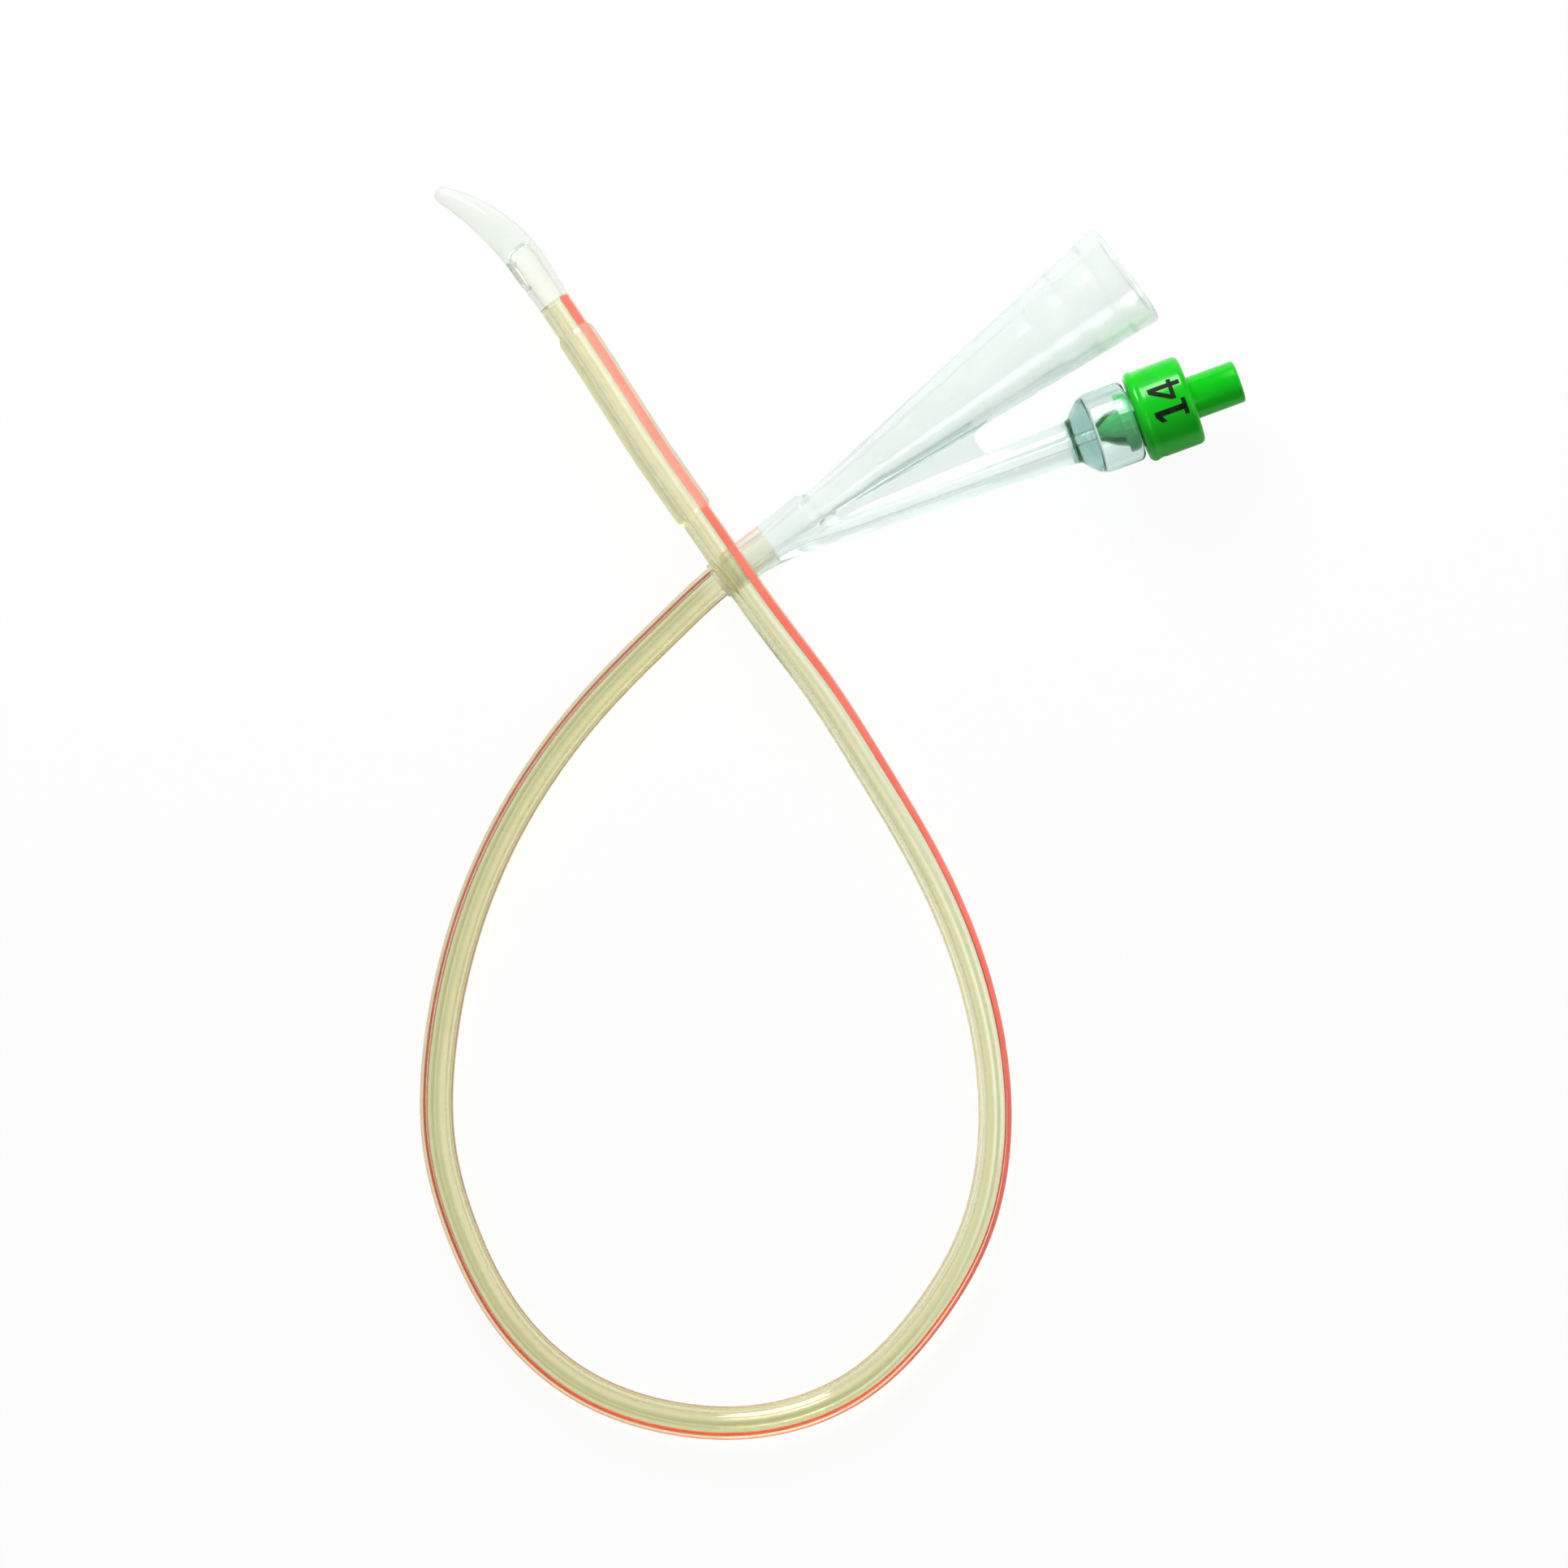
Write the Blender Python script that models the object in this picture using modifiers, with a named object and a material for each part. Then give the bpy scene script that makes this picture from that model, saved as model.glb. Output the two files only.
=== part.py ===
"""A two-way silicone bladder catheter of size 14 Ch with a curved tip, lying in a loop.

The tube has a drainage lumen and an inflation lumen, and a line for X-rays in its wall. One
end is moulded into a clear tip with a drainage eye, with the empty balloon behind it. The
other is bonded into a Y-shaped funnel, whose side arm holds a spring-loaded syringe valve.
Its plunger slides along the arm. Metres, +Z up, resting on the plane at zero height.
"""

import math

import bmesh
import bpy
import numpy as np
from mathutils import Matrix, Vector

# Tube
shaft_diameter = 0.00467
drain_lumen_diameter = 0.0026
drain_lumen_offset = 0.0001
fill_lumen_diameter = 0.0007
fill_lumen_depth = 0.00055
ring_spacing = 0.0060
shaft_sides = 11

# Line for X-rays, let into the tube's wall
line_half_angle = math.radians(19)
line_thickness = 0.0003
line_gap = 0.0001
line_cover = 0.00003

# Balloon sleeve
balloon_start = 0.0363
balloon_end = 0.0050
balloon_wall = 0.0003
bond_gap = 0.00015
fill_eye_diameter = 0.0009

# Curved tip
tip_straight = 0.0055
tip_bend_radius = 0.0293
tip_bend_angle = math.radians(35)
tip_swell = 0.0003
tip_swell_at = 0.0070
tip_nose_radius = 0.0012
tip_lumen_diameter = 0.0031
tip_lumen_length = 0.0095
tip_joint_gap = 0.0003
eye_length = 0.0048
eye_width = 0.0022
eye_at = 0.0058
eye_inset = 0.0006

# Funnel, measured along its axes from the point where they meet
tail_start = -0.0044
tail_wall = 0.00027
tail_flare = 0.00035
shoulder_at = 0.0113
shoulder_length = 0.0016
cone_base_radius = 0.00235
mouth_at = 0.0669
mouth_radius = 0.0078
lip_round = 0.0007
pocket_end = 0.0049
pocket_end_gap = 0.0003
drain_bore_radius = 0.0013
bore_step_at = 0.0236
bore_step_radius = 0.0020
bore_step_height = 0.00020
cone_wall = 0.0016
ridge_first = 0.0520
ridge_pitch = 0.00545
ridge_height = 0.00012
ridge_count = 3

# Inflation arm and the valve's socket
arm_angle = math.radians(16.9)
arm_start = 0.0035
arm_root_radius = 0.0019
arm_crotch_radius = 0.0026
arm_neck_radius = 0.0030
arm_channel_radius = 0.0007
crotch_at = 0.0387
crotch_sink = 0.0002
web_start = 0.0150
web_thickness = 0.0030
neck_at = 0.0486
neck_flare = 0.0037
socket_depth = 0.0058
socket_bore_radius = 0.0045
socket_wall = 0.00125
socket_round = 0.0010

# Valve
cap_radius = 0.0065
cap_bead = 0.0012
cap_groove = 0.00012
cap_length = 0.0081
cap_round = 0.0004
port_radius = 0.0030
port_length = 0.0071
port_bore_radius = 0.00215
port_taper = 0.00020
seat_thickness = 0.0011
seat_hole_radius = 0.00115
core_radius = 0.0040
core_fit_gap = 0.0001
plug_gap = 0.0003
plug_length = 0.0019
nose_radius = 0.0033
nose_tip_radius = 0.0012
nose_end_gap = 0.0005
slot_width = 0.0009
slot_depth = 0.0032
chamber_radius = 0.0021
chamber_depth = 0.0069
valve_gap = 0.0003
stem_radius = 0.0008
stem_sink = 0.0026
head_radius = 0.0018
head_thickness = 0.0008
guide_radius = 0.0007
guide_length = 0.0024
seal_thickness = 0.0008
spring_radius = 0.00145
spring_wire = 0.0004
spring_turns = 5

# Place of the point where the funnel's axes meet, which centres the whole on the origin
meet_x = 0.0106
meet_y = 0.0183

# Route of the tube in plan from the funnel to the tip, taken from that point
route = [
    (-0.0140, -0.0010),
    (-0.0275, -0.0030),
    (-0.0405, -0.0065),
    (-0.0530, -0.0120),
    (-0.0645, -0.0195),
    (-0.0745, -0.0285),
    (-0.0830, -0.0395),
    (-0.0880, -0.0520),
    (-0.0900, -0.0655),
    (-0.0875, -0.0785),
    (-0.0800, -0.0900),
    (-0.0690, -0.0985),
    (-0.0560, -0.1020),
    (-0.0425, -0.1000),
    (-0.0300, -0.0945),
    (-0.0200, -0.0855),
    (-0.0125, -0.0740),
    (-0.0075, -0.0615),
    (-0.0045, -0.0480),
    (-0.0030, -0.0345),
    (-0.0020, -0.0210),
    (-0.0020, -0.0075),
    (-0.0015, 0.0065),
    (-0.0010, 0.0200),
    (0.0000, 0.0335),
    (0.0007, 0.0449),
]
hump_half_length = 0.055
crossing_gap = 0.0003
tail_ramp = 0.018

# Turn of the X-ray line about the tube, from the top towards the loop's outside
line_turns = [
    (0.0, 120),
    (0.13, 118),
    (0.17, 92),
    (0.21, 70),
    (0.25, 64),
    (0.30, 48),
    (0.38, 46),
]

shaft_radius = shaft_diameter / 2
pocket_radius = shaft_radius + bond_gap
tail_radius = pocket_radius + tail_wall
tail_end_radius = tail_radius + tail_flare
shoulder_end = shoulder_at + shoulder_length
socket_radius = socket_bore_radius + socket_wall
socket_floor = neck_at + neck_flare
socket_end = socket_floor + socket_depth
cap_start = socket_end + valve_gap
cap_end = cap_start + cap_length
port_end = cap_end + port_length
seat_under = cap_end - valve_gap - seat_thickness
chamber_floor = seat_under - chamber_depth - core_fit_gap

# Rest: the tail's end and the mouth's rim both touch the ground
pitch = math.atan((mouth_radius - tail_radius) / (mouth_at - lip_round - tail_start))
meet_z = tail_radius * math.cos(pitch) - tail_start * math.sin(pitch)


def collection(name):
    found = bpy.data.collections.new(name)
    bpy.context.scene.collection.children.link(found)
    return found


def material(name, colour, roughness, metallic=0.0, transmission=0.0):
    made = bpy.data.materials.new(name)
    made.use_nodes = True
    shader = made.node_tree.nodes["Principled BSDF"]
    shader.inputs["Base Color"].default_value = (*colour, 1.0)
    shader.inputs["Roughness"].default_value = roughness
    shader.inputs["Metallic"].default_value = metallic
    shader.inputs["Transmission Weight"].default_value = transmission
    made.diffuse_color = (*colour, 1.0)
    return made


def add(name, data, home, parent=None):
    made = bpy.data.objects.new(name, data)
    home.objects.link(made)
    made.parent = parent
    return made


def finish(made, look):
    """Gives a piece its material and smooth shading with sharp edges."""
    made.data.materials.clear()
    made.data.materials.append(look)
    made.data.shade_smooth()
    made.data.set_sharp_from_angle(angle=math.radians(35))
    return made


def as_cutter(made):
    made.hide_render = True
    made.display_type = "WIRE"
    return made


def boolean(target, other, operation):
    step = target.modifiers.new(f"{operation.title()} {other.name}", "BOOLEAN")
    step.operation = operation
    step.object = other
    step.solver = "EXACT"


def to_mesh(made):
    """Turns a curve object into a closed mesh object of the same name and place."""
    bpy.context.view_layer.update()
    ready = made.evaluated_get(bpy.context.evaluated_depsgraph_get())
    data = bpy.data.meshes.new_from_object(ready)
    shape = bmesh.new()
    shape.from_mesh(data)
    bmesh.ops.remove_doubles(shape, verts=shape.verts, dist=1e-7)
    bmesh.ops.recalc_face_normals(shape, faces=shape.faces)
    shape.to_mesh(data)
    shape.free()
    name = made.name
    home = made.users_collection[0]
    parent = made.parent
    place = made.matrix_world.copy()
    bpy.data.objects.remove(made)
    mesh_object = add(name, data, home, parent)
    data.name = name
    bpy.context.view_layer.update()
    mesh_object.matrix_world = place
    return mesh_object


def turned(name, profile, home, parent, steps=28, closed=True, half_step=False):
    """A turned piece about its own Z. The profile lists (height, radius) points.

    A bore starts half a step round, so that its corners miss the edges that it cuts.
    """
    data = bpy.data.meshes.new(name)
    shape = bmesh.new()
    corners = [shape.verts.new((radius, 0.0, height)) for height, radius in profile]
    for first, second in zip(corners, corners[1:]):
        shape.edges.new((first, second))
    if closed:
        shape.edges.new((corners[-1], corners[0]))
    shape.to_mesh(data)
    shape.free()
    made = add(name, data, home, parent)
    screw = made.modifiers.new("Turn", "SCREW")
    screw.axis = "Z"
    screw.angle = 2 * math.pi
    screw.steps = steps
    screw.render_steps = steps
    screw.use_merge_vertices = True
    screw.merge_threshold = 0.00001
    screw.use_smooth_shade = True
    if half_step:
        made.rotation_euler = (0, 0, math.pi / steps)
    return made


def second_slopes(points):
    """Second derivatives of the natural cubic curve through the points, by chord length."""
    chords = np.linalg.norm(np.diff(points, axis=0), axis=1)
    count = len(points)
    left = np.eye(count)
    right = np.zeros_like(points)
    for i in range(1, count - 1):
        left[i, i - 1] = chords[i - 1]
        left[i, i] = 2 * (chords[i - 1] + chords[i])
        left[i, i + 1] = chords[i]
        ahead = (points[i + 1] - points[i]) / chords[i]
        behind = (points[i] - points[i - 1]) / chords[i - 1]
        right[i] = 6 * (ahead - behind)
    return chords, np.linalg.solve(left, right)


def smooth_plan(points, steps):
    """The natural cubic curve through the points, with some steps between each two."""
    points = np.array(points)
    chords, bends = second_slopes(points)
    found = []
    for i, chord in enumerate(chords):
        for k in range(steps):
            t = k / steps
            u = 1 - t
            bow = (u**3 - u) * bends[i] + (t**3 - t) * bends[i + 1]
            found.append(u * points[i] + t * points[i + 1] + bow * chord**2 / 6)
    found.append(points[-1])
    return np.array(found)


def lengths_along(points):
    steps = np.linalg.norm(np.diff(points, axis=0), axis=1)
    return np.concatenate([[0.0], np.cumsum(steps)])


def eased(share):
    share = np.clip(share, 0.0, 1.0)
    return 1 - 3 * share**2 + 2 * share**3


def tube_centreline():
    """The tube's centreline in space, as fine points with the length to each."""
    inside = [(pocket_end - pocket_end_gap, 0.0), (tail_start, 0.0)]
    plan = smooth_plan([*inside, *route], 24)
    along = lengths_along(plan)
    # Past the tail's end the tube comes down from the funnel's tilted axis to the ground
    from_meeting = inside[0][0] - along
    tilted = meet_z + from_meeting * math.tan(pitch)
    past = np.clip((tail_start - from_meeting) / tail_ramp, 0.0, 1.0)
    start_height = meet_z + tail_start * math.tan(pitch)
    start_slope = -math.tan(pitch) * tail_ramp
    ramp = (
        eased(past) * start_height
        + (past - 2 * past**2 + past**3) * start_slope
        + (1 - eased(past)) * shaft_radius
    )
    heights = np.where(from_meeting > tail_start, tilted, ramp)
    # It passes over the funnel's tail in a long low hump
    later = along > along[-1] / 2
    crossing = along[later][np.argmin(np.abs(plan[later][:, 1]))]
    over_x = np.interp(crossing, along, plan[:, 0])
    tail_top = meet_z + over_x * math.tan(pitch) + tail_end_radius
    over_height = tail_top + crossing_gap + shaft_radius
    rest_height = shaft_radius + tip_swell * (along > crossing)
    hump = eased(np.abs(along - crossing) / hump_half_length)
    heights = np.where(later, rest_height + hump * (over_height - rest_height), heights)
    points = np.column_stack([plan[:, 0] + meet_x, plan[:, 1] + meet_y, heights])
    return points, lengths_along(points)


centreline, centre_along = tube_centreline()
tube_length = centre_along[-1]


def centre_at(along):
    return np.array([np.interp(along, centre_along, centreline[:, k]) for k in range(3)])


def line_turn_at(along):
    """Angle of the X-ray line about the tube, from the top to the right of the route."""
    stations = [station for station, turn in line_turns]
    turns = [turn for station, turn in line_turns]
    return math.radians(np.interp(along, stations, turns))


def ring_stations(start, end):
    """Stations of the tube's rings between two lengths, with both ends."""
    count = max(2, round(tube_length / ring_spacing))
    rings = np.linspace(0.0, tube_length, count + 1)
    between = [s for s in rings if start + 0.0004 < s < end - 0.0004]
    return [start, *between, end]


ring_points = np.array([centre_at(s) for s in ring_stations(0.0, tube_length)])
ring_along = np.array(ring_stations(0.0, tube_length))


def on_rings(along):
    """A point on the straight runs between the tube's rings, or on past its ends."""
    if along < 0:
        ahead = (ring_points[0] - ring_points[1]) / (ring_along[1] - ring_along[0])
        return ring_points[0] - ahead * along
    if along > tube_length:
        ahead = (ring_points[-1] - ring_points[-2]) / (ring_along[-1] - ring_along[-2])
        return ring_points[-1] + ahead * (along - tube_length)
    return np.array([np.interp(along, ring_along, ring_points[:, k]) for k in range(3)])


def section(name, corners, home):
    """A closed flat outline that a sweep carries along the tube."""
    data = bpy.data.curves.new(name, "CURVE")
    data.dimensions = "2D"
    run = data.splines.new("POLY")
    run.points.add(len(corners) - 1)
    for point, (x, y) in zip(run.points, corners):
        point.co = (x, y, 0.0, 1.0)
    run.use_cyclic_u = True
    return as_cutter(add(name, data, home))


def swept(name, outline, stations, home):
    """Carries an outline along the tube, turned with the X-ray line at each station."""
    data = bpy.data.curves.new(name, "CURVE")
    data.dimensions = "3D"
    data.twist_mode = "Z_UP"
    data.bevel_mode = "OBJECT"
    data.bevel_object = outline
    data.use_fill_caps = True
    run = data.splines.new("POLY")
    run.points.add(len(stations) - 1)
    for point, station in zip(run.points, stations):
        point.co = (*on_rings(station), 1.0)
        point.tilt = line_turn_at(station)
    return to_mesh(add(name, data, home))


def round_outline(radius, sides, offset=0.0):
    """A regular outline about a point that lies off the centre, towards the X-ray line."""
    return [
        (radius * math.sin(a), offset + radius * math.cos(a))
        for a in (2 * math.pi * (k + 0.5) / sides for k in range(sides))
    ]


for old in list(bpy.data.objects):
    bpy.data.objects.remove(old)

parts = collection("foley_catheter")
cutters = collection("cutters")

tube_silicone = material("tube_silicone", (0.80, 0.78, 0.60), 0.25, 0.0, 0.6)
line_red = material("x_ray_line_red", (0.90, 0.16, 0.09), 0.5)
clear_silicone = material("clear_silicone", (0.80, 0.88, 0.85), 0.2, 0.0, 0.7)
balloon_silicone = material("balloon_silicone", (0.86, 0.84, 0.70), 0.55, 0.0, 0.4)
cap_green = material("cap_green", (0.01, 0.55, 0.04), 0.25)
core_green = material("core_green", (0.02, 0.42, 0.10), 0.35)
plunger_white = material("plunger_white", (0.80, 0.82, 0.80), 0.35)
seal_grey = material("seal_grey", (0.12, 0.12, 0.12), 0.6)
spring_steel = material("spring_steel", (0.62, 0.62, 0.62), 0.3, 1.0)

# Tube, with a groove for the X-ray line and its two lumens
groove_half_angle = line_half_angle + line_gap / shaft_radius
groove_floor = shaft_radius - line_cover - line_thickness - line_gap
arc = [
    groove_half_angle + (2 * math.pi - 2 * groove_half_angle) * k / shaft_sides
    for k in range(shaft_sides + 1)
]
tube_outline = [(shaft_radius * math.sin(a), shaft_radius * math.cos(a)) for a in arc]
tube_outline += [
    (groove_floor * math.sin(a), groove_floor * math.cos(a)) for a in (arc[-1], arc[0])
]
whole_tube = ring_stations(0.0, tube_length)
through_tube = [-0.001, *whole_tube, tube_length + 0.001]
shaft = swept("shaft_tube", section("tube_section", tube_outline, cutters), whole_tube, parts)
drain_outline = round_outline(drain_lumen_diameter / 2, 10, drain_lumen_offset)
drain = swept(
    "drain_lumen", section("drain_section", drain_outline, cutters), through_tube, cutters
)
fill_lumen_at = shaft_radius - fill_lumen_depth
fill_outline = round_outline(fill_lumen_diameter / 2, 6, -fill_lumen_at)
fill = swept("fill_lumen", section("fill_section", fill_outline, cutters), through_tube, cutters)
boolean(shaft, as_cutter(drain), "DIFFERENCE")
boolean(shaft, as_cutter(fill), "DIFFERENCE")

# Small eye from the inflation lumen to the inside of the balloon
balloon_near = tube_length - balloon_start
balloon_far = tube_length - balloon_end
eye_station = (balloon_near + balloon_far) / 2


def across_tube(station, turn):
    """Unit vector out of the tube at a station, turned from the top to the right."""
    ahead = Vector(on_rings(station + 0.001) - on_rings(station - 0.001)).normalized()
    right = ahead.cross(Vector((0, 0, 1))).normalized()
    up = right.cross(ahead).normalized()
    return up * math.cos(turn) + right * math.sin(turn)


def drill(name, start, direction, radius, length, home, sides):
    """A round cutter from a point along a direction."""
    data = bpy.data.meshes.new(name)
    shape = bmesh.new()
    bmesh.ops.create_cone(
        shape,
        cap_ends=True,
        segments=sides,
        radius1=radius,
        radius2=radius,
        depth=length,
        matrix=Matrix.Translation((0, 0, length / 2)),
    )
    shape.to_mesh(data)
    shape.free()
    made = add(name, data, home)
    made.matrix_world = Matrix.Translation(start) @ direction.to_track_quat(
        "Z", "Y"
    ).to_matrix().to_4x4()
    return as_cutter(made)


fill_side = across_tube(eye_station, line_turn_at(eye_station) + math.pi)
fill_centre = Vector(on_rings(eye_station)) + fill_side * fill_lumen_at
fill_eye = drill(
    "fill_eye", fill_centre, fill_side, fill_eye_diameter / 2, shaft_radius, cutters, 8
)
boolean(shaft, fill_eye, "DIFFERENCE")
finish(shaft, tube_silicone)

# X-ray line
line_outer = shaft_radius - line_cover
line_inner = line_outer - line_thickness
spread = (-line_half_angle, 0.0, line_half_angle)
line_outline = [(line_outer * math.sin(a), line_outer * math.cos(a)) for a in spread]
line_outline += [
    (line_inner * math.sin(a), line_inner * math.cos(a)) for a in (spread[2], spread[0])
]
x_ray = swept("x_ray_line", section("line_section", line_outline, cutters), whole_tube, parts)
finish(x_ray, line_red)

# Balloon sleeve
sleeve_stations = ring_stations(balloon_near, balloon_far)
sleeve_bore = shaft_radius + bond_gap
balloon_sides = 16
balloon = swept(
    "balloon_sleeve",
    section(
        "balloon_section", round_outline(sleeve_bore + balloon_wall, balloon_sides), cutters
    ),
    sleeve_stations,
    parts,
)
bore_stations = [balloon_near - 0.001, *sleeve_stations[1:-1], balloon_far + 0.001]
sleeve_cut = swept(
    "balloon_bore",
    section("balloon_bore_section", round_outline(sleeve_bore, balloon_sides), cutters),
    bore_stations,
    cutters,
)
boolean(balloon, as_cutter(sleeve_cut), "DIFFERENCE")
finish(balloon, balloon_silicone)

# Curved tip, bent to the left of the route
tube_end = Vector(on_rings(tube_length))
tip_ahead = (tube_end - Vector(on_rings(tube_length - 0.001))).normalized()
tip_ahead.z = 0
tip_ahead.normalize()
tip_left = Vector((0, 0, 1)).cross(tip_ahead)
tip_length = tip_straight + tip_bend_radius * tip_bend_angle
tip_swell_radius = shaft_radius + tip_swell


def tip_centre(along):
    """A point of the tip's centreline: a short straight, then one bend."""
    straight = min(along, tip_straight)
    turn = max(0.0, along - tip_straight) / tip_bend_radius
    ahead = straight + tip_bend_radius * math.sin(turn)
    aside = tip_bend_radius * (1 - math.cos(turn))
    return tube_end + tip_ahead * ahead + tip_left * aside


def tip_radius(along):
    """The tip swells a little past the joint and then narrows to its round nose."""
    round_from = tip_length - tip_nose_radius
    if along <= tip_swell_at:
        share = (1 - math.cos(math.pi * along / tip_swell_at)) / 2
        return shaft_radius + tip_swell * share
    share = min(1.0, (along - tip_swell_at) / (round_from - tip_swell_at))
    radius = tip_nose_radius + (tip_swell_radius - tip_nose_radius) * (1 - share**2)
    if along > round_from:
        past = min(1.0, (along - round_from) / tip_nose_radius)
        radius *= math.sqrt(max(0.0, 1 - past**2))
    return radius


def tapered(name, stations, radius_at, centre_of, home, sides_resolution):
    """A round tapering run along a centreline, as a curve with a radius at each point."""
    data = bpy.data.curves.new(name, "CURVE")
    data.dimensions = "3D"
    data.twist_mode = "Z_UP"
    data.bevel_depth = 1.0
    data.bevel_resolution = sides_resolution
    data.use_fill_caps = True
    run = data.splines.new("POLY")
    run.points.add(len(stations) - 1)
    for point, station in zip(run.points, stations):
        point.co = (*centre_of(station), 1.0)
        point.radius = radius_at(station)
    return to_mesh(add(name, data, home))


round_start = tip_length - tip_nose_radius
body_stations = np.linspace(tip_joint_gap, round_start, 12)
nose_stations = round_start + tip_nose_radius * np.sin(np.radians([25, 45, 62, 76, 85]))
tip = tapered(
    "curved_tip",
    [float(s) for s in (*body_stations, *nose_stations)],
    tip_radius,
    tip_centre,
    parts,
    6,
)
lumen_radius = tip_lumen_diameter / 2
dome_from = tip_lumen_length - lumen_radius


def tip_lumen_radius(along):
    past = max(0.0, along - dome_from) / lumen_radius
    return lumen_radius * math.sqrt(max(0.01, 1 - past**2))


lumen_stations = [tip_joint_gap - 0.001, 0.002, 0.004, 0.006, dome_from]
lumen_stations += [dome_from + lumen_radius * math.sin(math.radians(a)) for a in (30, 55, 80)]
tip_lumen = tapered("tip_lumen", lumen_stations, tip_lumen_radius, tip_centre, cutters, 4)
boolean(tip, as_cutter(tip_lumen), "DIFFERENCE")
eye_out = (tip_left + Vector((0, 0, 0.25))).normalized()
eye_start = tip_centre(eye_at) + eye_out * eye_inset
eye = drill("tip_eye", eye_start, eye_out, eye_length / 2, tip_swell_radius * 1.5, cutters, 20)
eye_axes = (tip_ahead, eye_out.cross(tip_ahead) * (eye_width / eye_length), eye_out)
eye.matrix_world = Matrix.Translation(eye_start) @ Matrix(eye_axes).transposed().to_4x4()
boolean(tip, eye, "DIFFERENCE")
finish(tip, clear_silicone)

# Funnel frame: X along the drainage funnel, tilted up to the mouth
funnel_frame = add("funnel_frame", None, parts)
funnel_frame.location = (meet_x, meet_y, meet_z)
funnel_frame.rotation_euler = (0, -pitch, 0)
drain_axis = add("drain_axis", None, parts, funnel_frame)
drain_axis.rotation_euler = (0, math.pi / 2, 0)
arm_axis = add("arm_axis", None, parts, funnel_frame)
arm_axis.rotation_euler = (0, math.pi / 2, -arm_angle)
bpy.context.view_layer.update()

# Funnel body: tail, shoulder, cone and lip
cone_slope = (mouth_radius - cone_base_radius) / (mouth_at - lip_round - shoulder_end)


def cone_outside(along):
    return cone_base_radius + cone_slope * (along - shoulder_end)


def cone_bore(along):
    return cone_outside(along) - cone_wall


rounding = [math.radians(a) for a in (0, 30, 60, 90)]
lip = [
    (
        mouth_at - lip_round + lip_round * math.sin(a),
        mouth_radius - lip_round + lip_round * math.cos(a),
    )
    for a in rounding
]
funnel = turned(
    "y_funnel",
    [
        (mouth_at, 0.0),
        *reversed(lip),
        (shoulder_end, cone_base_radius),
        (shoulder_at, tail_end_radius),
        (tail_start, tail_radius),
        (tail_start, 0.0),
    ],
    parts,
    drain_axis,
    28,
    False,
)
arm = turned(
    "arm_body",
    [
        (socket_end, 0.0),
        (socket_end, socket_radius - socket_round),
        (socket_end - socket_round * 0.3, socket_radius - socket_round * 0.3),
        (socket_end - socket_round, socket_radius),
        (socket_floor, socket_radius * 0.98),
        (socket_floor - (socket_floor - neck_at) * 0.45, (socket_radius + arm_neck_radius) / 2),
        (neck_at, arm_neck_radius),
        (crotch_at, arm_crotch_radius),
        (shoulder_at, arm_root_radius),
        (arm_start, arm_root_radius * 0.9),
        (arm_start, 0.0),
    ],
    cutters,
    arm_axis,
    24,
    False,
)

# Web between the arms, with a round end in the crotch
outline = bpy.data.curves.new("web", "CURVE")
outline.dimensions = "2D"
outline.fill_mode = "BOTH"
outline.extrude = web_thickness / 2
drain_edge = cone_outside(crotch_at)
arm_edge = crotch_at * math.tan(arm_angle) - arm_crotch_radius / math.cos(arm_angle)
crotch_y = -(drain_edge + arm_edge) / 2
crotch_radius = (arm_edge - drain_edge) / 2 + crotch_sink
crotch_arc = [math.radians(a) for a in (90, 118, 148, 180, 212, 242, 270)]
web_points = [
    (web_start, -drain_edge * web_start / crotch_at),
    (crotch_at, -drain_edge * 0.7),
]
web_points += [
    (crotch_at + crotch_radius * math.cos(a), crotch_y + crotch_radius * math.sin(a))
    for a in crotch_arc
]
web_points += [
    (crotch_at, -crotch_at * math.tan(arm_angle)),
    (web_start, -web_start * math.tan(arm_angle)),
]
edge = outline.splines.new("POLY")
edge.points.add(len(web_points) - 1)
for point, (x, y) in zip(edge.points, web_points):
    point.co = (x, y, 0.0, 1.0)
edge.use_cyclic_u = True
web = to_mesh(add("web", outline, cutters, funnel_frame))
boolean(funnel, as_cutter(arm), "UNION")
boolean(funnel, as_cutter(web), "UNION")

# Bores of the funnel: the tube's pocket, the drainage bore with its ridges, and the socket
ridges = [ridge_first + ridge_pitch * k for k in range(ridge_count)]
bore = [(mouth_at + 0.001, cone_bore(mouth_at) + ridge_height * ridge_count)]
for count, place in reversed(list(enumerate(ridges))):
    bore.append((place + 0.0002, cone_bore(place) + ridge_height * (count + 1)))
    bore.append((place, cone_bore(place) + ridge_height * count - ridge_height))
    bore.append((place - 0.0006, cone_bore(place - 0.0006) + ridge_height * count))
bore += [
    (bore_step_at + 0.0001, bore_step_radius + bore_step_height),
    (bore_step_at, bore_step_radius),
    (shoulder_end, (bore_step_radius + drain_bore_radius) / 2),
    (pocket_end - 0.0001, drain_bore_radius),
]
drain_bore = turned(
    "drain_bore",
    [(bore[0][0], 0.0), *bore, (bore[-1][0], 0.0)],
    cutters,
    drain_axis,
    24,
    False,
    True,
)
pocket = turned(
    "tube_pocket",
    [
        (pocket_end, 0.0),
        (pocket_end, pocket_radius),
        (tail_start - 0.001, pocket_radius),
        (tail_start - 0.001, 0.0),
    ],
    cutters,
    drain_axis,
    24,
    False,
    True,
)
socket = turned(
    "socket_bore",
    [
        (socket_end + 0.001, 0.0),
        (socket_end + 0.001, socket_bore_radius),
        (socket_floor + 0.0004, socket_bore_radius),
        (socket_floor, socket_bore_radius - 0.0005),
        (socket_floor, 0.0),
    ],
    cutters,
    arm_axis,
    24,
    False,
    True,
)

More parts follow.
